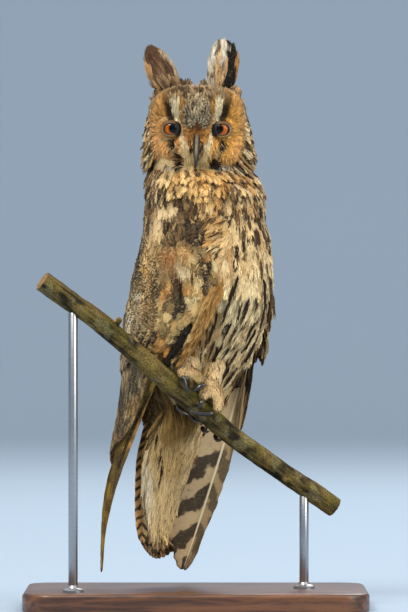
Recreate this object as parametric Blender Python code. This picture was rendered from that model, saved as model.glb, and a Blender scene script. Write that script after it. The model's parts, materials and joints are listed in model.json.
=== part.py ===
# A long-eared owl at life size, gripping a cut length of branch above a plain display stand.
# Sizes are in millimetres up to the point where a mesh is made, which is in metres. +Z is up.
# The face looks along -Y. The chest is turned 33 degrees towards the bird's own left, which is +X.

import math

import bpy
import numpy as np

MM = 0.001
GAP = 0.3

CHEST_TURN = math.radians(33.0)
FRONT = np.array([math.sin(CHEST_TURN), -math.cos(CHEST_TURN), 0.0])
LEFT = np.array([math.cos(CHEST_TURN), math.sin(CHEST_TURN), 0.0])
UP = np.array([0.0, 0.0, 1.0])

FLAT_ANGLE = math.radians(1.5)
BODY_COLUMNS = 32
NECK_CUT = 300.0
BODY_FOOT = 112.0

# Height; centre x and y; half breadth; depth ahead of the centre; depth behind it.
BODY_SECTIONS = np.array(
    [
        [112.0, -20.0, 32.0, 7.0, 4.0, 9.0],
        [118.0, -18.0, 31.0, 19.0, 10.0, 22.0],
        [135.0, -13.0, 28.0, 26.0, 16.0, 30.0],
        [155.0, -7.0, 22.0, 34.0, 21.0, 36.0],
        [180.0, -1.0, 12.0, 42.0, 27.0, 40.0],
        [205.0, 3.0, 5.0, 50.0, 42.0, 45.0],
        [235.0, 6.0, -1.0, 53.0, 54.0, 47.0],
        [270.0, 7.5, -4.0, 51.0, 52.0, 47.0],
        [300.0, 7.0, -5.0, 48.0, 46.0, 44.0],
        [324.0, 5.5, -5.0, 46.5, 40.0, 41.0],
        [342.0, 3.5, -1.5, 41.0, 21.5, 32.0],
        [352.0, 2.0, -2.0, 36.0, 16.0, 27.0],
    ]
)
TORSO_HEIGHTS = [112, 115, 120, 127, 136, 146, 157, 169, 182, 196, 211, 227, 244, 262, 281]
NECK_HEIGHTS = [309, 319, 328, 336, 344, 352]

HEAD_CENTRE = np.array([1.0, -6.0, 362.0])
HEAD_HALF_WIDTH = 38.5
HEAD_HALF_HEIGHT = 34.0
HEAD_FRONT = 27.0
HEAD_BACK = 30.0
HEAD_COLUMNS = 36
HEAD_ROWS = [5, 11, 17, 23, 29, 35, 42, 49, 57, 66, 77, 90, 104, 119, 135, 152, 169]
EYE_RADIUS = 11.0
EYE_CENTRES = {"left": (19.4, -19.5, 361.5), "right": (-18.6, -19.5, 362.0)}
LID_RADIUS = 12.6
LID_OPENING = (7.0, 5.0)
DISH_REACH = 22.0
DISH_DEPTH = 4.0
BROW_RIDGE = 7.0

# Points of the beak's upper line, each with a half width and a half depth.
BEAK_UPPER = np.array(
    [
        [1.0, -35.0, 357.0, 4.2, 5.2],
        [1.0, -41.0, 352.5, 4.0, 5.2],
        [1.0, -45.5, 346.0, 3.5, 4.6],
        [1.0, -47.3, 339.5, 2.5, 3.4],
        [1.0, -47.0, 334.5, 1.4, 1.9],
        [1.0, -46.0, 331.6, 0.5, 0.6],
    ]
)
BEAK_LOWER = np.array(
    [
        [1.0, -33.0, 349.0, 3.6, 3.0],
        [1.0, -38.0, 343.5, 3.2, 2.8],
        [1.0, -40.8, 339.0, 2.4, 2.2],
        [1.0, -42.0, 335.5, 0.8, 0.8],
    ]
)

# Centre line of the branch, from its upper left cut to its lower right one.
BRANCH_LINE = np.array(
    [
        [-115.0, 247.5],
        [-92.0, 230.7],
        [-73.0, 217.0],
        [-50.0, 196.9],
        [-27.4, 176.8],
        [0.0, 153.5],
        [26.6, 130.8],
        [56.2, 109.1],
        [82.0, 91.6],
        [106.0, 75.0],
    ]
)
BRANCH_DEPTH = -35.0
BRANCH_LEAN = 0.3
BRANCH_PIVOT = -18.0
BRANCH_RADIUS = 7.8
BRANCH_COLUMNS = 16
BRANCH_ROWS = 22

STAND_SIZE = (260.0, 170.0, 14.0)
STAND_CORNER = 22.0
ROD_RADIUS = 3.5
ROD_PLACES = {"left": -92.0, "right": 82.0}

# Height; x and y of a folded wing's leading edge, of its widest line and of its trailing edge.
NEAR_WING = np.array(
    [
        [20.0, -70.0, 12.0, -80.0, 28.0, -74.0, 44.0],
        [60.0, -65.0, 8.0, -79.0, 24.0, -71.0, 42.0],
        [90.0, -57.0, 4.0, -74.5, 20.0, -65.0, 40.0],
        [120.0, -46.0, -2.0, -67.0, 16.0, -57.0, 40.0],
        [150.0, -33.0, -12.0, -60.5, 10.0, -50.0, 42.0],
        [180.0, -20.0, -29.0, -58.0, 1.0, -45.0, 42.0],
        [210.0, 3.0, -47.0, -55.6, -4.0, -40.0, 44.0],
        [240.0, 16.5, -57.0, -51.8, -8.0, -34.0, 44.0],
        [262.0, 14.0, -58.0, -47.5, -9.0, -30.0, 43.0],
        [282.0, 9.0, -57.0, -42.5, -9.0, -26.0, 41.0],
        [312.0, -2.0, -50.0, -39.5, -10.0, -22.0, 36.0],
    ]
)
FAR_WING = np.array(
    [
        [20.0, 12.0, 38.0, 4.0, 52.0, -20.0, 61.0],
        [60.0, 23.0, 36.0, 14.0, 51.0, -16.0, 61.0],
        [90.0, 31.5, 33.0, 22.0, 50.0, -13.0, 61.0],
        [120.0, 38.5, 30.0, 29.0, 50.0, -10.0, 60.0],
        [150.0, 42.5, 26.0, 33.5, 50.0, -8.0, 58.0],
        [180.0, 48.0, 22.0, 38.0, 49.0, -8.0, 55.0],
        [210.0, 55.0, 18.0, 43.0, 46.0, -8.0, 52.0],
        [240.0, 59.5, 14.0, 47.0, 42.0, -6.0, 50.0],
        [275.0, 57.5, 10.0, 46.0, 38.0, -2.0, 48.0],
        [312.0, 47.0, 10.0, 38.0, 34.0, 4.0, 43.0],
    ]
)
WING_CORE_OUTER = -3.2
WING_CORE_INNER = -5.2
QUILL_CORE_OUTER = -6.4
QUILL_CORE_INNER = -11.0

VANE_EDGE = 0.5
VANE_SHAFT = 0.3
VANE_SPACING = 1.15
VANE_OVERLAP = 1.4
VANE_STEPS = (0.0, 0.34, 0.7, 0.92)
VANE_SHAPE = (0.5, 0.88, 1.0, 0.62)
VANE_LIFT = (0.0, 0.62, 0.88, 1.0)
LONG_STEPS = (0.0, 0.2, 0.4, 0.6, 0.8, 0.94)
LONG_SHAPE = (0.5, 0.75, 0.92, 1.0, 0.95, 0.6)
LONG_LIFT = (0.0, 0.42, 0.68, 0.82, 0.92, 1.0)

# Rows of feathers on a folded wing. Each has the share of the wing's arc at the first and last root
# and at the first and last tip, then the heights of those four.
WING_ROWS = {
    "secondary": ((0.22, 0.92), (0.3, 0.86), (202.0, 196.0), (128.0, 106.0)),
    "great_covert": ((0.13, 0.93), (0.17, 0.9), (236.0, 232.0), (187.0, 172.0)),
    "small_covert": ((0.08, 0.92), (0.11, 0.9), (268.0, 268.0), (221.0, 212.0)),
    "shoulder": ((0.12, 0.9), (0.14, 0.88), (303.0, 303.0), (256.0, 250.0)),
    "edge": ((0.02, 0.13), (0.06, 0.19), (244.0, 238.0), (196.0, 176.0)),
}
ROW_COUNTS = {
    "right": {"secondary": 8, "great_covert": 6, "small_covert": 5, "shoulder": 5, "edge": 2},
    "left": {"secondary": 6, "great_covert": 5, "small_covert": 4, "shoulder": 4, "edge": 2},
}
PRIMARY_WIDTH = 11.5
PRIMARY_TILT = 0.2
PRIMARY_DEPTHS = (-10.0, -7.2)
NEAR_PRIMARY_ROOTS = (0.12, 0.48)
NEAR_PRIMARY_TIPS = (0.42, 0.72)
FAR_PRIMARY_ROOTS = (-0.01, 0.52)
FAR_PRIMARY_TIPS = (0.66, 0.88)
PRIMARY_TOP = 186.0
PRIMARY_DROP = (28.0, 25.0, 32.0, 46.0, 64.0)

# Height and centre x and y of the tail's mid line, and of the coverts that hang before it.
TAIL_LINE = np.array([[34.0, -27.0, 34.0], [70.0, -28.0, 34.0], [120.0, -27.5, 33.0], [168.0, -18.0, 30.0]])
COVERT_LINE = np.array([[44.0, -28.0, 21.5], [90.0, -25.0, 18.5], [120.0, -18.0, 15.0], [152.0, -8.0, 8.0]])
TAIL_FEATHERS = 12
TAIL_STEP = 1.0
TAIL_WIDTH = 13.0
TAIL_SPREAD = 23.0

# Ear tufts: root, tip, full breadth of the leaf and the number of feathers in it.
TUFTS = {
    "right": ((-19.0, -8.0, 391.0), (-36.0, -9.0, 427.0), 18.0, 6),
    "left": ((19.0, -8.0, 390.0), (21.5, -9.0, 431.5), 28.0, 7),
}

# Feet, as points on the line of each toe with the toe's radius there.
TOES = {
    "right": [
        [(-8.6, -32.0, 179.0, 6.2), (-10.0, -37.0, 178.4, 5.2), (-9.8, -40.6, 176.6, 3.8)],
        [(-7.0, -32.5, 178.5, 6.2), (-1.0, -36.5, 177.0, 5.0), (4.2, -40.6, 172.0, 3.8)],
        [(-8.6, -32.0, 179.0, 6.0), (-14.0, -23.0, 173.0, 4.0), (-17.5, -20.5, 164.0, 3.6), (-16.0, -22.5, 156.0, 3.0)],
        [(-8.0, -31.0, 178.5, 6.0), (-4.5, -21.0, 170.0, 4.0), (-6.0, -18.0, 160.0, 3.6), (-5.0, -20.5, 151.0, 3.0)],
    ],
    "left": [
        [(10.7, -26.4, 166.2, 7.0), (8.0, -33.5, 164.4, 4.8), (5.4, -38.6, 160.0, 3.8)],
        [(10.5, -26.4, 166.2, 7.0), (15.0, -31.0, 163.0, 5.8), (17.2, -34.5, 156.0, 4.8), (16.4, -37.0, 150.0, 3.8)],
        [(10.7, -26.4, 166.2, 6.5), (6.0, -16.5, 157.5, 4.0), (3.0, -13.5, 148.0, 3.6), (3.5, -16.0, 139.8, 3.0)],
        [(11.0, -26.0, 166.0, 6.5), (14.0, -15.5, 154.0, 4.0), (12.5, -12.5, 143.0, 3.6), (13.5, -15.0, 134.4, 3.0)],
    ],
}
CLAWS = {
    "right": [
        [(-9.5, -43.2, 175.4, 1.9), (-8.0, -45.2, 170.0, 1.5), (-5.3, -44.6, 162.7, 0.45)],
        [(6.4, -42.4, 169.4, 1.9), (2.6, -43.8, 167.4, 1.5), (-2.5, -43.6, 163.8, 0.45)],
        [(-14.4, -24.4, 152.8, 1.7), (-11.4, -28.4, 149.4, 1.4), (-5.6, -33.0, 146.2, 0.45)],
        [(-3.6, -22.4, 147.8, 1.7), (-0.6, -26.4, 144.2, 1.4), (3.2, -31.4, 142.0, 0.45)],
    ],
    "left": [
        [(4.4, -41.2, 156.8, 1.8), (3.6, -42.4, 154.6, 1.4), (2.8, -41.8, 151.4, 0.45)],
        [(12.6, -39.8, 147.6, 2.0), (6.0, -41.4, 147.0, 1.7), (-4.0, -41.6, 149.2, 0.45)],
        [(4.6, -18.2, 136.4, 1.7), (6.4, -23.0, 133.4, 1.4), (9.6, -29.0, 133.8, 0.45)],
        [(14.8, -17.4, 131.0, 1.7), (16.4, -22.4, 127.6, 1.4), (19.0, -28.6, 127.0, 0.45)],
    ],
}
LEGS = {
    "right": [(-2.0, -4.0, 202.0, 15.0), (-5.5, -19.0, 190.0, 11.5), (-8.4, -29.0, 184.2, 7.6)],
    "left": [(14.0, 0.0, 198.0, 13.5), (13.0, -12.0, 184.0, 10.0), (11.0, -22.6, 174.4, 7.2)],
}

SURFACES = {
    "head": (0.55, 0.36, 0.18),
    "neck": (0.5, 0.35, 0.2),
    "torso": (0.62, 0.47, 0.29),
    "beak": (0.06, 0.06, 0.065),
    "eye": (0.85, 0.3, 0.02),
    "ear_tuft": (0.16, 0.1, 0.06),
    "wing": (0.3, 0.22, 0.14),
    "primaries": (0.26, 0.19, 0.12),
    "tail": (0.33, 0.25, 0.17),
    "undertail_coverts": (0.7, 0.58, 0.4),
    "leg": (0.72, 0.5, 0.3),
    "foot": (0.74, 0.52, 0.33),
    "claw": (0.05, 0.05, 0.055),
    "perch": (0.2, 0.18, 0.1),
    "stand_base": (0.28, 0.17, 0.1),
    "stand_rod": (0.55, 0.55, 0.56),
}


def read_table(table, wanted):
    # A smooth curve through the rows of a table whose first column rises.
    keys = table[:, 0]
    values = table[:, 1:]
    slopes = np.gradient(values, keys, axis=0)
    wanted = np.clip(np.atleast_1d(np.asarray(wanted, float)), keys[0], keys[-1])
    place = np.clip(np.searchsorted(keys, wanted) - 1, 0, len(keys) - 2)
    span = (keys[place + 1] - keys[place])[:, None]
    t = (wanted - keys[place])[:, None] / span
    return (
        (2 * t**3 - 3 * t**2 + 1) * values[place]
        + (t**3 - 2 * t**2 + t) * span * slopes[place]
        + (3 * t**2 - 2 * t**3) * values[place + 1]
        + (t**3 - t**2) * span * slopes[place + 1]
    )


def along_points(points, count):
    # Evenly spaced places on a smooth line through a few points; extra columns such as a radius go along.
    points = np.asarray(points, float)
    steps = np.linalg.norm(np.diff(points[:, :3], axis=0), axis=1)
    keys = np.concatenate([[0.0], np.cumsum(steps)])
    table = np.column_stack([keys, points])
    return read_table(table, np.linspace(0.0, keys[-1], count))


def unit(vector):
    return vector / np.linalg.norm(vector)


def rise(low, high, value):
    t = np.clip((np.asarray(value, float) - low) / (high - low), 0.0, 1.0)
    return t * t * (3.0 - 2.0 * t)


def outward(points, faces):
    # Triangles only, turned so that they face out.
    points = np.asarray(points, float)
    triangles = []
    for face in faces:
        for k in range(1, len(face) - 1):
            triangles.append((face[0], face[k], face[k + 1]))
    triangles = np.array(triangles)
    if np.linalg.det(points[triangles] - points.mean(axis=0)).sum() < 0:
        triangles = triangles[:, ::-1]
    return points, triangles


def closed_skin(rings, first=None, last=None, mirrored=()):
    # A skin over a stack of rings. An end is closed to the point given, or flat across the ring.
    # The quads of the mirrored columns are split along their other diagonal.
    rings = np.asarray(rings, float)
    rows, columns = rings.shape[:2]
    points = list(rings.reshape(-1, 3))
    faces = []
    for r in range(rows - 1):
        for c in range(columns):
            d = (c + 1) % columns
            low = r * columns
            high = low + columns
            if c in mirrored:
                faces.append((low + d, high + d, high + c, low + c))
            else:
                faces.append((low + c, low + d, high + d, high + c))
    top = (rows - 1) * columns
    if first is None:
        faces.append(tuple(range(columns - 1, -1, -1)))
    else:
        points.append(first)
        for c in range(columns):
            faces.append((len(points) - 1, (c + 1) % columns, c))
    if last is None:
        faces.append(tuple(range(top, top + columns)))
    else:
        points.append(last)
        for c in range(columns):
            faces.append((len(points) - 1, top + c, top + (c + 1) % columns))
    return outward(points, faces)


def plate(outer, inner):
    # A closed curved plate between two matching grids of points.
    rows, columns = outer.shape[:2]
    shift = rows * columns
    points = np.concatenate([outer.reshape(-1, 3), inner.reshape(-1, 3)])
    faces = []
    for r in range(rows - 1):
        for c in range(columns - 1):
            a = r * columns + c
            b = a + 1
            d = a + columns
            e = d + 1
            faces.append((a, b, e, d))
            faces.append((a + shift, d + shift, e + shift, b + shift))
    border = [c for c in range(columns)]
    border += [r * columns + columns - 1 for r in range(1, rows)]
    border += [(rows - 1) * columns + c for c in range(columns - 2, -1, -1)]
    border += [r * columns for r in range(rows - 2, 0, -1)]
    for k, a in enumerate(border):
        b = border[(k + 1) % len(border)]
        faces.append((b, a, a + shift, b + shift))
    return outward(points, faces)


def tube(line, radii, columns, blunt=0.5, tip=0.5):
    # A round tube along a line, rounded off by a share of its radius at either end.
    line = np.asarray(line, float)
    tangents = np.gradient(line, axis=0)
    side = np.cross(tangents[0], UP)
    if np.linalg.norm(side) < 1e-6:
        side = np.array([1.0, 0.0, 0.0])
    rings = []
    for centre, tangent, radius in zip(line, tangents, radii):
        tangent = unit(tangent)
        side = unit(side - tangent * np.dot(side, tangent))
        other = np.cross(tangent, side)
        ring = []
        for k in range(columns):
            angle = 2.0 * math.pi * k / columns
            ring.append(centre + radius * (side * math.cos(angle) + other * math.sin(angle)))
        rings.append(ring)
    first = line[0] - unit(tangents[0]) * radii[0] * blunt
    last = line[-1] + unit(tangents[-1]) * radii[-1] * tip
    return closed_skin(rings, first, last)


def ball(centre, radius, columns, rows, stretch=(1.0, 1.0, 1.0)):
    # A sphere whose poles lie before and behind.
    centre = np.asarray(centre, float)
    stretch = np.asarray(stretch, float)
    rings = []
    for r in range(1, rows):
        polar = math.pi * r / rows
        ring = []
        for c in range(columns):
            around = 2.0 * math.pi * c / columns
            across = math.sin(polar)
            way = np.array([across * math.cos(around), -math.cos(polar), across * math.sin(around)])
            ring.append(centre + radius * stretch * way)
        rings.append(ring)
    reach = np.array([0.0, radius * stretch[1], 0.0])
    return closed_skin(rings, centre - reach, centre + reach)


def long_vane(centres, sides, faces_out, halves, tip):
    # A long curved feather. Its two faces are split into the same triangles, so that they can't cross.
    rings = []
    for centre, side, out, half in zip(centres, sides, faces_out, halves):
        left = centre - side * half
        right = centre + side * half
        thick = out * (VANE_EDGE / 2.0)
        shaft = centre + out * (VANE_EDGE / 2.0 + VANE_SHAFT)
        rings.append([left + thick, shaft, right + thick, right - thick, centre - thick, left - thick])
    return closed_skin(rings, None, tip, mirrored=(3, 4))


def vane(centres, sides, faces_out, halves, tip):
    # One feather: a thin leaf with a raised shaft line on its outer face, running to a point.
    rings = []
    for centre, side, out, half in zip(centres, sides, faces_out, halves):
        left = centre - side * half
        right = centre + side * half
        thick = out * (VANE_EDGE / 2.0)
        shaft = centre + out * (VANE_EDGE / 2.0 + VANE_SHAFT)
        rings.append([left + thick, shaft, right + thick, right - thick, left - thick])
    return closed_skin(rings, None, tip)


def make_material(name, colour):
    material = bpy.data.materials.new(name)
    material.use_nodes = True
    shader = material.node_tree.nodes["Principled BSDF"]
    shader.inputs["Base Color"].default_value = (*colour, 1.0)
    shader.inputs["Roughness"].default_value = 0.3 if name.startswith(("eye", "claw", "beak")) else 0.7
    shader.inputs["Metallic"].default_value = 1.0 if "rod" in name else 0.0
    return material


def new_object(name, shape, group=None):
    points, faces = shape
    mesh = bpy.data.meshes.new(name)
    mesh.from_pydata((points * MM).tolist(), [], faces.tolist())
    mesh.update()
    made = bpy.data.objects.new(name, mesh)
    if group is None:
        group = bpy.context.scene.collection
    group.objects.link(made)
    return made


def bake(made):
    # The object's modifiers become its mesh.
    graph = bpy.context.evaluated_depsgraph_get()
    mesh = bpy.data.meshes.new_from_object(made.evaluated_get(graph))
    made.modifiers.clear()
    made.data = mesh


def keep_largest(made):
    # Only the biggest closed surface of a mesh stays.
    mesh = made.data
    parent = list(range(len(mesh.vertices)))

    def root_of(k):
        while parent[k] != k:
            parent[k] = parent[parent[k]]
            k = parent[k]
        return k

    for edge in mesh.edges:
        a, b = (root_of(k) for k in edge.vertices)
        if a != b:
            parent[a] = b
    mesh.calc_loop_triangles()
    points = np.array([vertex.co[:] for vertex in mesh.vertices])
    middle = points.mean(axis=0)
    volumes = {}
    for triangle in mesh.loop_triangles:
        corners = list(triangle.vertices)
        group = root_of(corners[0])
        volumes[group] = volumes.get(group, 0.0) + np.linalg.det(points[corners] - middle)
    best = max(volumes, key=volumes.get)
    kept = [k for k in range(len(points)) if root_of(k) == best]
    if len(kept) == len(points):
        return
    renumbered = {old: new for new, old in enumerate(kept)}
    faces = []
    for face in mesh.polygons:
        if root_of(face.vertices[0]) == best:
            faces.append([renumbered[k] for k in face.vertices])
    fresh = bpy.data.meshes.new(made.name)
    fresh.from_pydata(points[kept].tolist(), [], faces)
    fresh.update()
    made.data = fresh


def boolean(made, operation, tools, solver="MANIFOLD"):
    # One Boolean with a collection of closed meshes, which is gone afterwards.
    group = bpy.data.collections.new(made.name + "_tools")
    bpy.context.scene.collection.children.link(group)
    for k, tool in enumerate(tools):
        new_object(f"{made.name}_tool_{k}", tool, group)
    modifier = made.modifiers.new("Boolean", "BOOLEAN")
    modifier.operation = operation
    modifier.solver = solver
    modifier.operand_type = "COLLECTION"
    modifier.collection = group
    bake(made)
    for tool in list(group.objects):
        bpy.data.objects.remove(tool, do_unlink=True)
    bpy.data.collections.remove(group)


def merge_flat_faces(made):
    # Faces that a Boolean split but that still lie in one plane become one face again.
    modifier = made.modifiers.new("Flat", "DECIMATE")
    modifier.decimate_type = "DISSOLVE"
    modifier.angle_limit = FLAT_ANGLE
    bake(made)


def add_node(name, core, joined=(), cuts=(), surface=None, merge=True):
    # A named sub-part: a core with its pieces joined on, then cut back from its neighbours.
    made = new_object(name, core)
    if joined:
        boolean(made, "UNION", joined)
    for cut in cuts:
        boolean(made, "DIFFERENCE", [cut])
    if joined or cuts:
        keep_largest(made)
    if merge and (joined or cuts):
        merge_flat_faces(made)
        keep_largest(made)
    made.data.materials.clear()
    made.data.materials.append(make_material(name + "_surface", SURFACES[surface or name]))
    return made


def body_ring(height, grow):
    x, y, half, ahead, behind = read_table(BODY_SECTIONS, height)[0]
    ring = []
    for k in range(BODY_COLUMNS):
        angle = 2.0 * math.pi * k / BODY_COLUMNS
        depth = ahead if math.cos(angle) > 0 else behind
        sideways = LEFT * (half + grow) * math.sin(angle)
        ring.append(np.array([x, y, height]) + sideways + FRONT * (depth + grow) * math.cos(angle))
    return ring


def body_shape(heights, grow=0.0):
    rings = np.array([body_ring(height, grow) for height in heights])
    rings[0, :, 2] -= grow
    rings[-1, :, 2] += grow
    return closed_skin(rings, rings[0].mean(axis=0), rings[-1].mean(axis=0))


def face_relief(x, z, share):
    # How far the face stands out: the brow ridge, a dish round each eye and a raised rim.
    ridge_ends = rise(336.0, 350.0, z) * (1.0 - rise(372.0, 394.0, z))
    ridge = BROW_RIDGE * math.exp(-(((x - 1.0) / 7.5) ** 2)) * ridge_ends
    dish = 0.0
    for centre in EYE_CENTRES.values():
        away = math.hypot(x - centre[0], z - centre[2]) / DISH_REACH
        if away < 1.0:
            dish = max(dish, DISH_DEPTH * (1.0 - away**2) ** 2)
    rim = 1.8 * math.exp(-(((share - 0.92) / 0.06) ** 2))
    return ridge - dish + rim


def head_shape(grow=0.0):
    rings = []
    for polar in HEAD_ROWS:
        polar = math.radians(polar)
        power = 2.0 / 3.0 if polar < math.pi / 2 else 0.9
        share = math.sin(polar) ** power
        ahead = math.copysign(abs(math.cos(polar)) ** power, math.cos(polar))
        ring = []
        for k in range(HEAD_COLUMNS):
            around = 2.0 * math.pi * k / HEAD_COLUMNS
            wide = abs(math.cos(around)) / HEAD_HALF_WIDTH
            tall = abs(math.sin(around)) / HEAD_HALF_HEIGHT
            reach = (wide**3.2 + tall**3.2) ** (-1.0 / 3.2) + grow
            x = HEAD_CENTRE[0] + reach * share * math.cos(around)
            z = HEAD_CENTRE[2] + reach * share * math.sin(around)
            depth = (HEAD_FRONT if ahead > 0 else HEAD_BACK) + grow
            y = HEAD_CENTRE[1] - depth * ahead
            if ahead > 0:
                y -= face_relief(x, z, share) * rise(0.0, 0.5, ahead)
            ring.append((x, y, z))
        rings.append(ring)
    rings = np.array(rings)
    first = rings[0].mean(axis=0) + np.array([0.0, -0.2, 0.0])
    last = rings[-1].mean(axis=0) + np.array([0.0, 0.6, 0.0])
    return closed_skin(rings, first, last)


def beak_shape(table, grow=0.0):
    lines = along_points(table, 8)
    tangents = np.gradient(lines[:, :3], axis=0)
    rings = []
    for row, tangent in zip(lines, tangents):
        tangent = unit(tangent)
        up = unit(np.cross(np.array([1.0, 0.0, 0.0]), tangent))
        ring = []
        for k in range(10):
            angle = 2.0 * math.pi * k / 10
            wide = (row[3] + grow) * math.cos(angle) * (1.0 - 0.25 * math.sin(angle))
            tall = (row[4] + grow) * math.sin(angle)
            ring.append(row[:3] + np.array([1.0, 0.0, 0.0]) * wide - up * tall)
        rings.append(ring)
    rings = np.array(rings)
    return closed_skin(rings, rings[0].mean(axis=0), rings[-1].mean(axis=0) + unit(tangents[-1]) * 0.5)


def branch_axis(count):
    line = read_table(BRANCH_LINE, np.linspace(BRANCH_LINE[0, 0], BRANCH_LINE[-1, 0], count))[:, 0]
    x = np.linspace(BRANCH_LINE[0, 0], BRANCH_LINE[-1, 0], count)
    y = BRANCH_DEPTH + BRANCH_LEAN * (x - BRANCH_PIVOT)
    return np.column_stack([x, y, line])


BRANCH_AXIS = branch_axis(600)


def clear_of_branch(line, radii):
    # Pushes a line off the branch until a tube of these radii just clears its bark.
    cleared = []
    for point, radius in zip(line, radii):
        away = point - BRANCH_AXIS
        near = BRANCH_AXIS[np.argmin((away**2).sum(axis=1))]
        offset = point - near
        reach = np.linalg.norm(offset)
        least = BRANCH_RADIUS + 0.25 + GAP + radius
        cleared.append(near + offset / reach * max(reach, least))
    return np.array(cleared)


def branch_radii(count):
    at = np.arange(count)
    swell = 0.14 * np.sin(at * 1.7) + 0.1 * np.sin(at * 0.61 + 1.0)
    return BRANCH_RADIUS + swell


def make_branch():
    line = branch_axis(BRANCH_ROWS)
    shape = tube(line, branch_radii(BRANCH_ROWS), BRANCH_COLUMNS, 0.02, 0.02)
    knobs = []
    for x, lift, radius, length in ((-64.0, 40.0, 3.2, 12.5), (64.0, -60.0, 3.6, 11.5)):
        near = BRANCH_AXIS[np.argmin(abs(BRANCH_AXIS[:, 0] - x))]
        angle = math.radians(lift)
        way = np.array([0.5, -0.3 if lift > 0 else -0.7, math.sin(angle)])
        end = near + unit(way) * length
        knobs.append(tube(np.array([near, (near + end) / 2, end]), [radius * 1.3, radius, radius * 0.8], 8, 0.0, 0.15))
    add_node("perch_branch", shape, knobs, surface="perch")


def make_stand():
    width, depth, height = STAND_SIZE
    rings = []
    for inset, z in ((1.2, 0.0), (0.0, 1.2), (0.0, height - 2.5), (0.8, height - 0.8), (2.6, height)):
        ring = []
        radius = STAND_CORNER - inset
        for turn, sx, sy in ((0, 1, 1), (1, -1, 1), (2, -1, -1), (3, 1, -1)):
            for k in range(6):
                angle = math.radians(90.0 * turn + 18.0 * k)
                x = sx * (width / 2 - STAND_CORNER) + radius * math.cos(angle)
                y = sy * (depth / 2 - STAND_CORNER) + radius * math.sin(angle)
                ring.append((x, y, z))
        rings.append(ring)
    middles = (np.array([0.0, 0.0, 0.0]), np.array([0.0, 0.0, height]))
    add_node("stand_base", closed_skin(rings, *middles))
    cutter = tube(branch_axis(BRANCH_ROWS), branch_radii(BRANCH_ROWS) + GAP, BRANCH_COLUMNS, 0.02, 0.02)
    for side, x in ROD_PLACES.items():
        top = BRANCH_AXIS[np.argmin(abs(BRANCH_AXIS[:, 0] - x))]
        low = np.array([x, top[1], height + GAP])
        rod = tube(np.array([low, (low + top) / 2, top]), [ROD_RADIUS] * 3, 20, 0.0, 0.0)
        add_node(f"stand_rod_{side}", rod, cuts=[cutter], surface="stand_rod")


def on_wing(table, share, height, depth=0.0):
    # A point on a folded wing's outer face, with the way to its trailing edge and the way out.
    row = read_table(table, height)[0]
    a, b, c = row[0:2], row[2:4], row[4:6]
    first = b - a
    second = c - b
    sides = np.array([first, second])
    middles = np.array([np.dot(first, (a + b) / 2), np.dot(second, (b + c) / 2)])
    centre = np.linalg.solve(sides, middles)
    radius = np.linalg.norm(a - centre)
    angles = [math.atan2(*(corner - centre)[::-1]) for corner in (a, b, c)]
    turn = (angles[1] - angles[0] + math.pi) % (2 * math.pi) - math.pi
    turn += (angles[2] - angles[1] + math.pi) % (2 * math.pi) - math.pi
    angle = angles[0] + turn * share
    out = np.array([math.cos(angle), math.sin(angle), 0.0])
    along = np.array([-math.sin(angle), math.cos(angle), 0.0]) * math.copysign(1.0, turn)
    point = np.array([centre[0], centre[1], height]) + out * (radius + depth)
    return point, along, out


def wing_plate(table, heights, lows, highs, outer, inner, columns):
    # A plate that follows a wing between two depths and thins towards its side edges.
    middle = (outer + inner) / 2.0
    half = (outer - inner) / 2.0
    tops = []
    unders = []
    for height, low, high in zip(heights, lows, highs):
        top = []
        under = []
        for k, share in enumerate(np.linspace(low, high, columns)):
            thin = 0.35 if k in (0, columns - 1) else 1.0
            top.append(on_wing(table, share, height, middle + half * thin)[0])
            under.append(on_wing(table, share, height, middle - half * thin)[0])
        tops.append(top)
        unders.append(under)
    return plate(np.array(tops), np.array(unders))


def wing_vane(table, root, tip, width, depths, tilt, long=False):
    # A feather that lies along a wing, its edge nearer the leading side raised over its neighbour.
    steps, lifts, shapes = (LONG_STEPS, LONG_LIFT, LONG_SHAPE) if long else (VANE_STEPS, VANE_LIFT, VANE_SHAPE)
    centres = []
    sides = []
    outs = []
    for t, lift in zip(steps, lifts):
        share = root[0] + (tip[0] - root[0]) * t
        height = root[1] + (tip[1] - root[1]) * t
        depth = depths[0] + (depths[1] - depths[0]) * lift
        point, along, out = on_wing(table, share, height, depth)
        centres.append(point)
        sides.append(unit(along - out * tilt))
        outs.append(unit(out + along * tilt))
    end = on_wing(table, tip[0], tip[1], depths[1])[0]
    halves = [width / 2.0 * shape for shape in shapes]
    make = long_vane if long else vane
    return make(centres, sides, outs, halves, end)


def feather_row(table, row, count, depths=(-4.2, -0.8)):
    roots, tips, root_heights, tip_heights = row
    made = []
    middle_height = (root_heights[0] + tip_heights[1]) / 2.0
    ends = [on_wing(table, share, middle_height)[0] for share in np.linspace(roots[0], roots[1], 9)]
    pitch = np.linalg.norm(np.diff(ends, axis=0), axis=1).sum() / (count - 1)
    for k in range(count):
        t = k / (count - 1)
        root = (roots[0] + (roots[1] - roots[0]) * t, root_heights[0] + (root_heights[1] - root_heights[0]) * t)
        tip = (tips[0] + (tips[1] - tips[0]) * t, tip_heights[0] + (tip_heights[1] - tip_heights[0]) * t)
        made.append(wing_vane(table, root, tip, pitch * VANE_OVERLAP, depths, VANE_SPACING / pitch))
    return made


def make_wing(side, table, body_cutter):
    heights = [160, 178, 198, 220, 244, 268, 291, 312]
    lows = [0.2, 0.12, 0.06, 0.01, 0.0, 0.02, 0.07, 0.2]
    highs = [0.94, 1.0, 1.0, 1.0, 1.0, 1.0, 0.96, 0.85]
    core = wing_plate(table, heights, lows, highs, WING_CORE_OUTER, WING_CORE_INNER, 8)
    vanes = []
    for name, row in WING_ROWS.items():
        vanes += feather_row(table, row, ROW_COUNTS[side][name])
    add_node(f"wing_{side}", core, vanes, [body_cutter], "wing")


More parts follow.
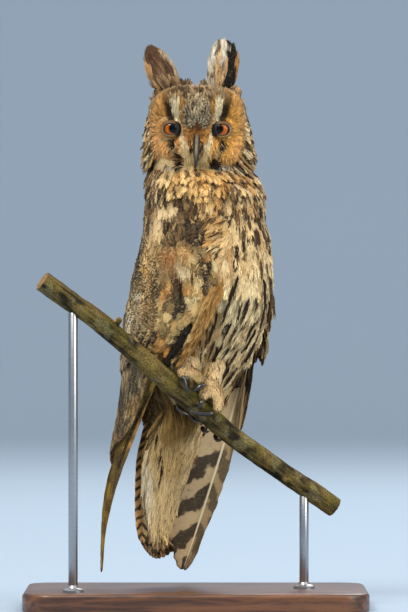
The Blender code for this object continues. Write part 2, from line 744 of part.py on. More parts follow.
def make_primaries(side, table, roots, tips, body_cutter):
    heights = [172, 181, 190]
    lows = [roots[0] - 0.04] * 3
    highs = [roots[1] + 0.06] * 3
    core = wing_plate(table, heights, lows, highs, QUILL_CORE_OUTER, QUILL_CORE_INNER, 7)
    vanes = []
    for k, low in enumerate(PRIMARY_DROP):
        t = k / (len(PRIMARY_DROP) - 1)
        root = (roots[0] + (roots[1] - roots[0]) * t, PRIMARY_TOP)
        tip = (tips[0] + (tips[1] - tips[0]) * t, low)
        vanes.append(wing_vane(table, root, tip, PRIMARY_WIDTH, PRIMARY_DEPTHS, PRIMARY_TILT, long=True))
    add_node(f"primaries_{side}", core, vanes, [body_cutter], "primaries", merge=False)


def hanging_leaf(line, heights, across, halves, depth, tilt, tip_height):
    # A feather that hangs along a line, set to one side of it and in front of or behind it.
    back = -FRONT
    centres = []
    for height, sideways in zip(heights, across):
        x, y = read_table(line, height)[0]
        centres.append(np.array([x, y, height]) + LEFT * sideways + back * depth)
    x, y = read_table(line, tip_height)[0]
    end = np.array([x, y, tip_height]) + LEFT * across[-1] + back * depth
    side = unit(LEFT + back * tilt)
    out = unit(back - LEFT * tilt)
    return vane(centres, [side] * len(centres), [out] * len(centres), halves, end)


def hanging_core(line, heights, halves, thick, depth):
    back = -FRONT
    rings = []
    for height, half in zip(heights, halves):
        x, y = read_table(line, height)[0]
        middle = np.array([x, y, height]) + back * depth
        ring = []
        for k in range(12):
            angle = 2.0 * math.pi * k / 12
            ring.append(middle + LEFT * half * math.cos(angle) + back * thick / 2 * math.sin(angle))
        rings.append(ring)
    rings = np.array(rings)
    return closed_skin(rings, rings[0].mean(axis=0), rings[-1].mean(axis=0))


def make_tail(body_cutter):
    core = hanging_core(TAIL_LINE, [112, 126, 142, 160], [17.0, 19.0, 19.0, 16.0], 11.0, 0.0)
    vanes = []
    for k in range(TAIL_FEATHERS):
        place = k - (TAIL_FEATHERS - 1) / 2.0
        layer = (TAIL_FEATHERS - 1) / 2.0 - abs(place) * 2.0 + (0.5 if place > 0 else 0.0)
        sideways = place / (TAIL_FEATHERS / 2.0) * TAIL_SPREAD * 1.09
        tip = 35.0 + 0.42 * place**2
        heights = [tip + (148.0 - tip) * (1.0 - t) for t in (0.0, 0.4, 0.8, 0.97)]
        across = [sideways * (0.86 + 0.14 * t) for t in (0.0, 0.5, 0.8, 1.0)]
        halves = [TAIL_WIDTH / 2.0 * shape for shape in (0.55, 0.95, 1.0, 0.72)]
        vanes.append(hanging_leaf(TAIL_LINE, heights, across, halves, layer * TAIL_STEP, 0.0, tip))
    add_node("tail", core, vanes, [body_cutter])


def make_undertail(body_cutter):
    core = hanging_core(COVERT_LINE, [62, 78, 96, 114, 132, 152], [8.0, 12.5, 17.0, 21.0, 22.0, 16.0], 7.0, 0.0)
    vanes = []
    for k, (sideways, top, tip, width) in enumerate(
        [
            (-17.0, 140.0, 84.0, 13.0),
            (-12.0, 128.0, 62.0, 13.0),
            (-7.0, 112.0, 46.0, 13.0),
            (0.0, 106.0, 44.0, 13.0),
            (7.0, 112.0, 50.0, 13.0),
            (12.0, 128.0, 68.0, 13.0),
            (17.0, 140.0, 88.0, 13.0),
            (-4.0, 140.0, 78.0, 14.0),
            (6.0, 142.0, 84.0, 14.0),
        ]
    ):
        heights = [tip + (top - tip) * (1.0 - t) for t in VANE_STEPS]
        across = [sideways * (1.0 - 0.25 * t) for t in (0.0, 0.4, 0.75, 1.0)]
        halves = [width / 2.0 * shape for shape in VANE_SHAPE]
        depth = -2.2 if k > 6 else -0.6 + 0.25 * (k % 2)
        vanes.append(hanging_leaf(COVERT_LINE, heights, across, halves, depth, 0.0, tip))
    add_node("undertail_coverts", core, vanes, [body_cutter])


def make_tuft(side, head_cutter):
    root, tip, breadth, count = TUFTS[side]
    root = np.array(root)
    tip = np.array(tip)
    axis = unit(tip - root)
    length = np.linalg.norm(tip - root)
    ahead = np.array([0.0, -1.0, 0.0])
    across = unit(np.cross(axis, ahead))
    core = ball(root + axis * 4.0, 1.0, 12, 8, (breadth * 0.32, 4.6, 9.0))
    vanes = []
    for k in range(count):
        t = k / (count - 1) * 2.0 - 1.0
        start = root + across * breadth * 0.2 * t + axis * 1.0 - ahead * 0.9 * abs(t)
        end = root + across * breadth * 0.36 * t + axis * length * (1.0 - 0.24 * t**2) - ahead * 2.0 * abs(t)
        shift = ahead * 1.2 * (k % 3 - 1)
        way = unit(end - start)
        side_way = unit(np.cross(way, ahead))
        out = unit(np.cross(side_way, way))
        if np.dot(out, ahead) < 0:
            out = -out
        centres = [start + (end - start) * step + shift for step in VANE_STEPS]
        halves = [breadth * 0.19 * shape for shape in (0.6, 0.95, 0.9, 0.5)]
        vanes.append(vane(centres, [side_way] * 4, [out] * 4, halves, end + shift))
    add_node(f"ear_tuft_{side}", core, vanes, [head_cutter], "ear_tuft")


def make_feet(body_cutter):
    for side in ("right", "left"):
        pieces = []
        for toe in TOES[side]:
            line = along_points(toe, 6)
            cleared = clear_of_branch(line[:, :3], line[:, 3])
            pieces.append(tube(cleared, line[:, 3], 8, 0.4, 0.45))
        leg_end = np.array(LEGS[side][-1])
        leg_way = unit(leg_end[:3] - np.array(LEGS[side][-2])[:3])
        start = leg_end[:3] + leg_way * GAP
        ankle = np.array(TOES[side][0][0][:3])
        line = np.array([start, start * 0.5 + ankle * 0.5, ankle])
        radii = [leg_end[3], leg_end[3] * 0.94, 6.6]
        shank = tube(clear_of_branch(line, radii), radii, 10, 0.0, 0.3)
        claw_lines = []
        for claw in CLAWS[side]:
            line = along_points(claw, 5)
            claw_lines.append((clear_of_branch(line[:, :3], line[:, 3]), line[:, 3]))
        cuts = [tube(line, radii + GAP, 6, 0.3, 0.6) for line, radii in claw_lines]
        leg_cut = leg_shape(side, GAP)
        add_node(f"foot_{side}", shank, pieces, [leg_cut, body_cutter] + cuts, "foot")
        for k, (line, radii) in enumerate(claw_lines):
            add_node(f"claw_{side}_{k + 1}", tube(line, radii, 6, 0.3, 0.6), surface="claw")


def leg_shape(side, grow=0.0):
    line = along_points(LEGS[side], 6)
    shape = tube(line[:, :3], line[:, 3] + grow, 12, 0.2, 0.0)
    if grow:
        end = line[-1, :3] - line[-2, :3]
        points = shape[0]
        points[12 * 5 : 12 * 6] += unit(end) * grow
        points[-1] += unit(end) * grow
    return shape


def make_head():
    joined = [ball(centre, LID_RADIUS, 16, 10) for centre in EYE_CENTRES.values()]
    cuts = []
    for centre in EYE_CENTRES.values():
        cuts.append(ball(centre, EYE_RADIUS + GAP, 16, 10))
        rings = []
        for y in (-38.0, centre[1] - 2.0):
            ring = []
            for k in range(16):
                angle = 2.0 * math.pi * k / 16
                x = centre[0] + LID_OPENING[0] * math.copysign(abs(math.cos(angle)) ** 0.9, math.cos(angle))
                z = centre[2] - 0.3 + LID_OPENING[1] * math.copysign(abs(math.sin(angle)) ** 0.9, math.sin(angle))
                ring.append((x, y, z))
            rings.append(ring)
        cuts.append(closed_skin(rings))
    add_node("head", head_shape(), joined, cuts)
    for side, centre in EYE_CENTRES.items():
        add_node(f"eye_{side}", ball(centre, EYE_RADIUS, 16, 10), surface="eye")


def make_beak(head_cutter, body_cutter):
    nostrils = [ball((1.0 + x, -43.6, 352.6), 1.2, 8, 6) for x in (-3.4, 3.4)]
    add_node("bill_upper", beak_shape(BEAK_UPPER), cuts=[head_cutter, body_cutter] + nostrils, surface="beak")
    cuts = [head_cutter, body_cutter, beak_shape(BEAK_UPPER, GAP)]
    add_node("bill_lower", beak_shape(BEAK_LOWER), cuts=cuts, surface="beak")


def main():
    for leftover in list(bpy.data.objects):
        bpy.data.objects.remove(leftover, do_unlink=True)
    head_cutter = head_shape(GAP)
    whole = TORSO_HEIGHTS + [NECK_CUT] + NECK_HEIGHTS
    body_cutter = body_shape(whole, GAP)
    add_node("torso", body_shape(TORSO_HEIGHTS + [NECK_CUT - GAP / 2]))
    add_node("neck", body_shape([NECK_CUT + GAP / 2] + NECK_HEIGHTS), cuts=[head_cutter])
    make_head()
    make_beak(head_cutter, body_cutter)
    for side in ("right", "left"):
        make_tuft(side, head_cutter)
    make_wing("right", NEAR_WING, body_cutter)
    make_wing("left", FAR_WING, body_cutter)
    make_primaries("right", NEAR_WING, NEAR_PRIMARY_ROOTS, NEAR_PRIMARY_TIPS, body_cutter)
    make_primaries("left", FAR_WING, FAR_PRIMARY_ROOTS, FAR_PRIMARY_TIPS, body_cutter)
    make_tail(body_cutter)
    make_undertail(body_cutter)
    for side in ("right", "left"):
        add_node(f"leg_{side}", leg_shape(side), cuts=[body_cutter], surface="leg")
    make_feet(body_cutter)
    make_branch()
    make_stand()


main()
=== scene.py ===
# Long-eared owl at life size on a cut branch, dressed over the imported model.
# Points are worked out in millimetres and become metres where a mesh is made.

import json
import math

import bpy
import numpy as np
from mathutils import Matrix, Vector
from mathutils.bvhtree import BVHTree

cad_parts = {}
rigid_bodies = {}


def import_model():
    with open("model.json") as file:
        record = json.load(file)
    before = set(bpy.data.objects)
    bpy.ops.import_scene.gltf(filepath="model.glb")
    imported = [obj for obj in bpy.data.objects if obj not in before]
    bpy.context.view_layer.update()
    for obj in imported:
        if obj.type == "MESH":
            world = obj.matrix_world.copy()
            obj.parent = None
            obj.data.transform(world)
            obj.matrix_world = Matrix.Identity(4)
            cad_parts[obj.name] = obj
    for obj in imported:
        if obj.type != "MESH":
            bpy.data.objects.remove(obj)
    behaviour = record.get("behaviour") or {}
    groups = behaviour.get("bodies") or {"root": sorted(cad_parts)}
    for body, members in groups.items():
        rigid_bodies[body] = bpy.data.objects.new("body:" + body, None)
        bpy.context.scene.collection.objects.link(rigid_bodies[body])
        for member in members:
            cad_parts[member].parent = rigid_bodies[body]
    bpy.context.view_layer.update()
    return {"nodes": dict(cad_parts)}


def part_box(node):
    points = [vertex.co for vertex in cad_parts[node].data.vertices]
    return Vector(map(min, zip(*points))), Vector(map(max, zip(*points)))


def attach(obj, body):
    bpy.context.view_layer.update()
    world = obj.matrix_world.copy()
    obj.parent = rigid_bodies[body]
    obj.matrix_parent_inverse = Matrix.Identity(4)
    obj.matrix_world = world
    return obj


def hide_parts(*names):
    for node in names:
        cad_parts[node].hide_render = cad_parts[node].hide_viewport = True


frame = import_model()
nodes = frame["nodes"]
mm = 0.001
nowhere = 99
forward = np.array([0, -1, 0])
upward = np.array([0, 0, 1])
chestTurn = math.radians(33)
chestFront = np.array([math.sin(chestTurn), -math.cos(chestTurn), 0])
chestLeft = np.array([math.cos(chestTurn), math.sin(chestTurn), 0])


# Small tools for numbers and colours

def tint(code):
    # A colour written as on a paint chart, as light values.
    parts = np.array([int(code[k : k + 2], 16) for k in (1, 3, 5)]) / 255
    return np.where(parts > 0.04045, ((parts + 0.055) / 1.055) ** 2.4, parts / 12.92)


def smooth(low, high, value):
    t = np.clip((np.asarray(value, float) - low) / (high - low), 0, 1)
    return t * t * (3 - 2 * t)


def unit(vectors):
    return vectors / np.maximum(np.linalg.norm(vectors, axis=-1, keepdims=True), 1e-9)


def mixed(first, second, share):
    # Between two colours or directions, or a choice where the share is true or false. A colour may be a code.
    first, second = (tint(end) if isinstance(end, str) else end for end in (first, second))
    share = np.asarray(share, float)[..., None]
    return first * (1 - share) + second * share


def between(t, ends):
    return np.interp(t, (0, 1), ends)


def stacked(*columns):
    # Rows of numbers from columns, each an array or one number for all rows.
    return np.stack(np.broadcast_arrays(*columns), axis=-1)


def noise(points, size, seed=0):
    # Smooth noise from 0 to 1 with lumps about `size` across.
    q = np.asarray(points, float) / size + seed * 17.13
    cell = np.floor(q).astype(np.int64)
    f = q - cell
    f = f * f * (3 - 2 * f)
    total = np.zeros(len(q))
    for corner in range(8):
        step = np.array([corner & 1, corner >> 1 & 1, corner >> 2 & 1])
        n = (cell + step) * np.array([73856093, 19349663, 83492791])
        n = n[:, 0] ^ n[:, 1] ^ n[:, 2]
        n = (n ^ (n >> 13)) * 1274126177
        value = ((n ^ (n >> 16)) & 0xFFFF) / 65535
        total += value * np.prod(np.where(step, f, 1 - f), axis=1)
    return total


def blob(x, z, spot):
    # How far a place lies inside a soft oval: x, z, half width, half height.
    away = np.hypot((x - spot[0]) / spot[2], (z - spot[1]) / spot[3])
    return 1 - smooth(0.7, 1.25, away)


def nearLine(x, z, line):
    # Distance from a line of points in the x and z plane, and the share of the line at the nearest place.
    line = np.asarray(line, float)
    best = np.full(len(x), 1e9)
    share = np.zeros(len(x))
    spans = len(line) - 1
    for k in range(spans):
        a, b = line[k, :2], line[k + 1, :2]
        way = b - a
        t = np.clip(((x - a[0]) * way[0] + (z - a[1]) * way[1]) / (way @ way), 0, 1)
        away = np.hypot(x - a[0] - way[0] * t, z - a[1] - way[1] * t)
        share = np.where(away < best, (k + t) / spans, share)
        best = np.minimum(best, away)
    return best, share


def readTable(table, wanted):
    # A smooth curve through the rows of a table whose first column rises.
    table = np.asarray(table, float)
    keys, values = table[:, 0], table[:, 1:]
    slopes = np.gradient(values, keys, axis=0)
    wanted = np.clip(np.atleast_1d(np.asarray(wanted, float)), keys[0], keys[-1])
    place = np.clip(np.searchsorted(keys, wanted) - 1, 0, len(keys) - 2)
    span = (keys[place + 1] - keys[place])[:, None]
    t = (wanted - keys[place])[:, None] / span
    low = (2 * t**3 - 3 * t**2 + 1) * values[place] + (t**3 - 2 * t**2 + t) * span * slopes[place]
    return low + (3 * t**2 - 2 * t**3) * values[place + 1] + (t**3 - t**2) * span * slopes[place + 1]


# Small tools for meshes and node trees

def readPoints(mesh, what="co"):
    values = np.empty(len(mesh.vertices) * 3, np.float32)
    mesh.vertices.foreach_get(what, values)
    values = values.reshape(-1, 3).astype(float)
    return values / mm if what == "co" else values


def linked(name, data):
    made = bpy.data.objects.new(name, data)
    bpy.context.scene.collection.objects.link(made)
    return made


def makeObject(name, points, faces):
    mesh = bpy.data.meshes.new(name)
    mesh.from_pydata((np.asarray(points) * mm).tolist(), [], [list(map(int, face)) for face in faces])
    mesh.update()
    mesh.shade_smooth()
    return linked(name, mesh)


def movePoints(mesh, points):
    mesh.vertices.foreach_set("co", (points * mm).astype(np.float32).reshape(-1))
    mesh.update()


def keepValues(mesh, name, values):
    # One or three numbers for each point. Only `kind`, the feather's shape, is a whole number.
    values = np.asarray(values)
    kind, field, size = "FLOAT", "value", np.float32
    if values.ndim == 2:
        kind, field = "FLOAT_VECTOR", "vector"
    elif name == "kind":
        kind, size = "INT", np.int32
    mesh.attributes.new(name, kind, "POINT").data.foreach_set(field, values.astype(size).reshape(-1))


def keepMap(mesh, name, places):
    layer = mesh.uv_layers.new(name=name)
    layer.data.foreach_set("uv", np.asarray(places, np.float32).reshape(-1))


def gridFaces(rows, columns, first=0, closed=True, flipped=False):
    # Faces between rows of points that follow each other.
    faces = []
    for r in range(rows - 1):
        for c in range(columns if closed else columns - 1):
            d = (c + 1) % columns
            a, b = first + r * columns, first + (r + 1) * columns
            faces.append((a + c, b + c, b + d, a + d) if flipped else (a + c, a + d, b + d, b + c))
    return faces


def closedFaces(rows, columns):
    # The faces of an upright tube with flat ends.
    ends = [tuple(range(columns - 1, -1, -1)), tuple(range((rows - 1) * columns, rows * columns))]
    return gridFaces(rows, columns) + ends


def triangles(made):
    return len(made.data.loops) - 2 * len(made.data.polygons)


def put(tree, kind, inputs=None, **settings):
    # One node; an input is given a value or the socket that feeds it.
    node = tree.nodes.new(kind)
    for name, value in settings.items():
        setattr(node, name, value)
    for name, value in (inputs or {}).items():
        socket = node.inputs[name]
        if isinstance(value, bpy.types.NodeSocket):
            tree.links.new(value, socket)
        else:
            socket.default_value = value
    return node


def applied(made):
    # The object's modifiers become its mesh.
    graph = bpy.context.evaluated_depsgraph_get()
    mesh = bpy.data.meshes.new_from_object(made.evaluated_get(graph))
    made.modifiers.clear()
    made.data = mesh
    return made


def turnedOut(made, rows, columns, out):
    # Turns a grid of faces over if its middle looks the wrong way.
    if readPoints(made.data, "normal")[rows // 2 * columns + columns // 2] @ out < 0:
        made.data.flip_normals()


def walled(made, thickness, offset):
    wall = made.modifiers.new("Wall", "SOLIDIFY")
    wall.thickness = thickness * mm
    wall.offset = offset
    applied(made)


def growTree(name, sizes):
    # A Geometry Nodes tree with a geometry in and out and named sizes.
    tree = bpy.data.node_groups.new(name, "GeometryNodeTree")
    tree.interface.new_socket("Geometry", in_out="INPUT", socket_type="NodeSocketGeometry")
    tree.interface.new_socket("Geometry", in_out="OUTPUT", socket_type="NodeSocketGeometry")
    for label, value in sizes.items():
        kind = "NodeSocketInt" if isinstance(value, int) else "NodeSocketFloat"
        tree.interface.new_socket(label, in_out="INPUT", socket_type=kind).default_value = value
    return tree, put(tree, "NodeGroupInput"), put(tree, "NodeGroupOutput")


def runTree(made, tree, values=None):
    modifier = made.modifiers.new(tree.name, "NODES")
    modifier.node_group = tree
    for item in tree.interface.items_tree:
        if item.in_out == "INPUT" and item.name in (values or {}):
            modifier[item.identifier] = values[item.name]
    return applied(made)


def placed(made, replaced=()):
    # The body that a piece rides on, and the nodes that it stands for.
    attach(made, "root")
    if replaced:
        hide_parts(*replaced)


def dress(made, material, replaced=()):
    made.data.materials.clear()
    made.data.materials.append(material)
    placed(made, replaced)


# The skin: one closed surface under the coat of head, neck, body, legs and feet

skinSizes = {
    "flesh": ["head", "neck", "torso", "leg_left", "leg_right", "foot_left", "foot_right"],
    "depths": [1.6, 4.2, 4.8, 1.8, 1.8, 0.7, 0.7],
    "overlap": 0.4,
    "voxel": 1.25,
    "rounds": 4,
    "napeDepth": 2,
    "headCentre": (1, -6, 362),
    "headHalf": (38.5, 34),
    "eyes": {"left": (19.4, -19.5, 361.5), "right": (-18.6, -19.5, 362)},
    "eyeRadius": 11,
    "socket": (9.4, 7.8),
    "socketGap": 1.2,
}
eyeCentres = {side: np.array(place) for side, place in skinSizes["eyes"].items()}


def faceShare(x, z):
    # 0 at the middle of the head's front and 1 on its outline.
    wide = np.abs(x - skinSizes["headCentre"][0]) / skinSizes["headHalf"][0]
    tall = np.abs(z - skinSizes["headCentre"][2]) / skinSizes["headHalf"][1]
    return (wide**3.2 + tall**3.2) ** (1 / 3.2)


def nodePoints(name):
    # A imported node's points and triangles, with its doubled corners made one.
    mesh = nodes[name].data
    points = readPoints(mesh)
    mesh.calc_loop_triangles()
    faces = np.empty(len(mesh.loop_triangles) * 3, np.int32)
    mesh.loop_triangles.foreach_get("vertices", faces)
    _, first, index = np.unique(np.round(points, 3), axis=0, return_index=True, return_inverse=True)
    faces = index.reshape(-1)[faces].reshape(-1, 3)
    faces = faces[(faces[:, 0] != faces[:, 1]) & (faces[:, 1] != faces[:, 2]) & (faces[:, 0] != faces[:, 2])]
    return points[first], faces


def pushedOut(points, faces, reach):
    # Points moved along the mean normal of their faces.
    corners = points[faces]
    across = np.cross(corners[:, 1] - corners[:, 0], corners[:, 2] - corners[:, 0])
    normals = np.zeros_like(points)
    for k in range(3):
        np.add.at(normals, faces[:, k], across)
    return points + unit(normals) * reach


def joined(parts):
    # The points and faces of several shapes as one.
    starts = np.cumsum([0] + [len(points) for points, _ in parts[:-1]])
    faces = np.concatenate([faces + start for (_, faces), start in zip(parts, starts)])
    return np.concatenate([points for points, _ in parts]), faces


def remeshed(name, points, faces, voxel, rounds):
    # One closed skin of even small faces round a shape.
    made = makeObject(name, points, faces)
    remesh = made.modifiers.new("Voxels", "REMESH")
    remesh.mode = "VOXEL"
    remesh.voxel_size = voxel * mm
    remesh.use_smooth_shade = True
    soften = made.modifiers.new("Soften", "SMOOTH")
    soften.factor = 0.6
    soften.iterations = rounds
    return applied(made)


def spreadOut(mesh, values, rounds):
    # Evens values out over neighbouring points of a mesh.
    edges = np.empty(len(mesh.edges) * 2, np.int32)
    mesh.edges.foreach_get("vertices", edges)
    edges = edges.reshape(-1, 2)
    count = np.bincount(edges.reshape(-1), minlength=len(values)) + 1
    for _ in range(rounds):
        total = values.copy()
        total += np.bincount(edges[:, 0], values[edges[:, 1]], len(values))
        total += np.bincount(edges[:, 1], values[edges[:, 0]], len(values))
        values = total / count
    return values


def makeSkin():
    parts, owners = [], []
    for k, name in enumerate(skinSizes["flesh"]):
        points, faces = nodePoints(name)
        parts.append((pushedOut(points, faces, skinSizes["overlap"]), faces))
        owners += [k] * len(faces)
    points, faces = joined(parts)
    skin = remeshed("skin", points, faces, skinSizes["voxel"], skinSizes["rounds"])
    tree = BVHTree.FromPolygons(points.tolist(), faces.tolist())
    points = readPoints(skin.data)
    owner = np.array([owners[tree.find_nearest(point)[2]] for point in points.tolist()])
    depth = spreadOut(skin.data, np.array(skinSizes["depths"])[owner], 8) + skinSizes["overlap"]
    depth += skinSizes["napeDepth"] * (owner == 0) * smooth(-20, 10, points[:, 1])
    points -= readPoints(skin.data, "normal") * depth[:, None]
    for centre in eyeCentres.values():
        # the sockets keep clear of the eyeballs
        away = points - centre
        reach = np.linalg.norm(away, axis=1)
        oval = np.hypot(away[:, 0] / skinSizes["socket"][0], away[:, 2] / skinSizes["socket"][1])
        inside = (1 - smooth(1, 1.25, oval)) * (away[:, 1] < 0)
        goal = np.minimum(reach, skinSizes["eyeRadius"] - skinSizes["socketGap"])
        points = centre + away * ((reach + (goal - reach) * inside) / reach)[:, None]
    movePoints(skin.data, points)
    return skin, owner


skin, skinOwner = makeSkin()
skinPoints = readPoints(skin.data)
skinNormals = readPoints(skin.data, "normal")
skinTree = BVHTree.FromPolygons(skinPoints.tolist(), [tuple(face.vertices) for face in skin.data.polygons])
print("skin:", len(skinPoints), "points")


def onFront(x, z):
    # Places on the skin straight behind points seen from the front, with their outward directions.
    hits = [skinTree.ray_cast((a, -90, b), (0, 1, 0)) for a, b in zip(x, z)]
    hits = [hit for hit in hits if hit[0] is not None]
    return np.array([hit[0] for hit in hits]), np.array([hit[1] for hit in hits])


def skinHit(x, z):
    # How far back the skin lies behind one such point.
    hit = skinTree.ray_cast((x, -200, z), (0, 1, 0))
    return hit[0][1] if hit[0] is not None else nowhere


# Scattering roots over a surface

def makeScatterTree():
    tree, given, result = growTree("scatterRoots", {"Spacing": 0.003, "Density": 1e6, "Seed": 1})
    here = put(tree, "GeometryNodeInputNamedAttribute", {"Name": "here"}, data_type="FLOAT")
    spread = put(tree, "GeometryNodeDistributePointsOnFaces", {
        "Mesh": given.outputs["Geometry"],
        "Distance Min": given.outputs["Spacing"],
        "Density Max": given.outputs["Density"],
        "Density Factor": here.outputs["Attribute"],
        "Seed": given.outputs["Seed"],
    }, distribute_method="POISSON")
    facing = put(tree, "GeometryNodeStoreNamedAttribute", {
        "Geometry": spread.outputs["Points"],
        "Name": "facing",
        "Value": spread.outputs["Normal"],
    }, data_type="FLOAT_VECTOR", domain="POINT")
    corners = put(tree, "GeometryNodePointsToVertices", {"Points": facing.outputs["Geometry"]})
    tree.links.new(corners.outputs["Mesh"], result.inputs["Geometry"])
    return tree


scatterTree = makeScatterTree()


def scatter(surface, here, spacing, seed):
    # Roots spaced evenly over a surface where `here` is above 0, as places and outward directions.
    made = linked("roots", surface.data.copy())
    keepValues(made.data, "here", here)
    runTree(made, scatterTree, {"Spacing": spacing * mm, "Density": 3 / (spacing * mm) ** 2, "Seed": seed})
    places = readPoints(made.data)
    outs = np.empty(len(places) * 3, np.float32)
    made.data.attributes["facing"].data.foreach_get("vector", outs)
    bpy.data.objects.remove(made, do_unlink=True)
    return places, unit(outs.reshape(-1, 3).astype(float))


# Feather shapes that are laid out by the thousand: across is -0.5 to 0.5 of the breadth, along 0 to 1 of the length

shapeStore = bpy.data.collections.new("featherShapes")
bpy.context.scene.collection.children.link(shapeStore)


class FeatherShape:
    def __init__(self):
        self.points = []
        self.faces = []
        self.grains = []

    def strip(self, line, widths, grain):
        # A thin strip along a line, ending in a point.
        line = np.asarray(line, float)
        ways = unit(np.gradient(line[:, :2], axis=0))
        first = len(self.points)
        for (x, y, z), way, width in zip(line[:-1], ways, widths):
            side = np.array([-way[1], way[0]]) * width / 2
            self.points += [(x + side[0], y + side[1], z), (x - side[0], y - side[1], z)]
            self.grains += [grain, grain]
        self.points.append(tuple(line[-1]))
        self.grains.append(grain)
        for k in range(len(line) - 2):
            a = first + 2 * k
            self.faces.append((a + 1, a + 3, a + 2, a))
        last = len(self.points) - 1
        self.faces.append((last - 1, last, last - 2))

    def blade(self, halves, alongs, arch, grain, ragged=0, rng=None):
        # A blade whose middle line is raised, with a ragged rim if wanted.
        first = len(self.points)
        for half, y in zip(halves, alongs):
            for column in (-1, -0.5, 0, 0.5, 1):
                slip = rng.uniform(-ragged, ragged) if ragged and abs(column) == 1 else 0
                x = column * half * (1 + slip)
                z = arch * (1 - column**2) * half * 2 + 0.06 * math.sin(math.pi * y)
                self.points.append((x, y + slip * 0.12, z))
                self.grains.append(grain)
        for r in range(len(alongs) - 1):
            for c in range(4):
                a = first + r * 5 + c
                self.faces.append((a, a + 1, a + 6, a + 5))

    def store(self, name):
        made = makeObject(name, np.array(self.points) / mm, self.faces)
        bpy.context.scene.collection.objects.unlink(made)
        mesh = made.data
        keepValues(mesh, "grain", self.grains)
        corners = np.empty(len(mesh.loops), np.int32)
        mesh.loops.foreach_get("vertex_index", corners)
        places = np.array(self.points)[corners][:, :2] + np.array([0.5, 0])
        barb = mesh.attributes.new("barb", "FLOAT2", "CORNER")
        barb.data.foreach_set("vector", places.astype(np.float32).reshape(-1))
        return made


def softShape(name, seed, strands=14, bladeHalf=0.26, strandWidth=0.12):
    # A soft body feather: a narrow blade with loose barbs along its sides and tip.
    rng = np.random.default_rng(seed)
    shape = FeatherShape()
    shape.blade([0.05, bladeHalf, bladeHalf * 1.05, 0.06], [0, 0.32, 0.66, 0.93], 0.1, rng.uniform(0.4, 0.6))
    for k in range(strands):
        t = (k + rng.uniform(0.2, 0.8)) / strands
        side = 1 if k % 2 else -1
        low = 0.1 + 0.62 * t
        high = min(low + rng.uniform(0.24, 0.36), 1.06)
        reach = side * 0.5 * math.sin(math.pi * min(high * 0.86 + 0.06, 0.97)) ** 0.6 * rng.uniform(0.8, 1.15)
        lift = rng.uniform(0, 0.05)
        line = [
            (0, low, 0.03),
            (reach * 0.6, low + 0.4 * (high - low), 0.06 + lift),
            (reach, high, 0.03 + lift),
        ]
        shape.strip(line, (strandWidth * 0.8, strandWidth), rng.uniform(0, 1))
    return shape.store(name)


def tuftShape(name, seed, strands=5, spread=0.5, strandWidth=0.3):
    # A little lock of hair-like barbs from one root.
    rng = np.random.default_rng(seed)
    shape = FeatherShape()
    for k in range(strands):
        side = (k + 0.5) / strands * 2 - 1
        reach = side * spread * rng.uniform(0.7, 1.1)
        length = 1 - 0.22 * abs(side) - rng.uniform(0, 0.2)
        low = rng.uniform(0, 0.12)
        lift = rng.uniform(0, 0.08)
        line = [
            (side * 0.16, low, 0),
            (side * 0.16 + reach * 0.45, low + 0.5 * (length - low), 0.07 + lift),
            (side * 0.16 + reach * 0.9, length, 0.03 + lift),
        ]
        shape.strip(line, (strandWidth * 0.8, strandWidth), rng.uniform(0, 1))
    return shape.store(name)


def covertShape(name, seed, strands=8):
    # A firm wing covert: a broad blade with a ragged rim and a few loose barbs at its tip.
    rng = np.random.default_rng(seed)
    shape = FeatherShape()
    halves = [0.08, 0.33, 0.45, 0.46, 0.34, 0.1]
    shape.blade(halves, [0, 0.2, 0.45, 0.7, 0.88, 0.99], 0.12, 0.5, 0.12, rng)
    for k in range(strands):
        t = (k + 0.5) / strands
        side = 1 if k % 2 else -1
        low = 0.35 + 0.55 * t
        reach = side * (0.5 - 0.38 * max(t - 0.45, 0) * 1.6) * rng.uniform(0.95, 1.15)
        high = low + rng.uniform(0.1, 0.18)
        line = [(reach * 0.5, low, 0.1), (reach * 0.85, low + 0.5 * (high - low), 0.08), (reach, high, 0.05)]
        shape.strip(line, (0.1, 0.09), rng.uniform(0.2, 0.9))
    return shape.store(name)


featherShapes = {
    "soft": [softShape(f"softShape{k}", 10 + k) for k in range(4)],
    "fine": [softShape(f"fineShape{k}", 20 + k, 8, 0.34, 0.17) for k in range(4)],
    "tuft": [tuftShape(f"tuftShape{k}", 30 + k) for k in range(4)],
    "covert": [covertShape(f"covertShape{k}", 40 + k) for k in range(4)],
    "streak": [softShape(f"streakShape{k}", 50 + k, 20, 0.12, 0.17) for k in range(4)],
    "loose": [tuftShape(f"looseShape{k}", 60 + k, 9, 0.6, 0.15) for k in range(4)],
}
for key, shapes in featherShapes.items():
    group = bpy.data.collections.new(key)
    shapeStore.children.link(group)
    for shape in shapes:
        group.objects.link(shape)
print("feather shapes:", sum(len(shapes) for shapes in featherShapes.values()))


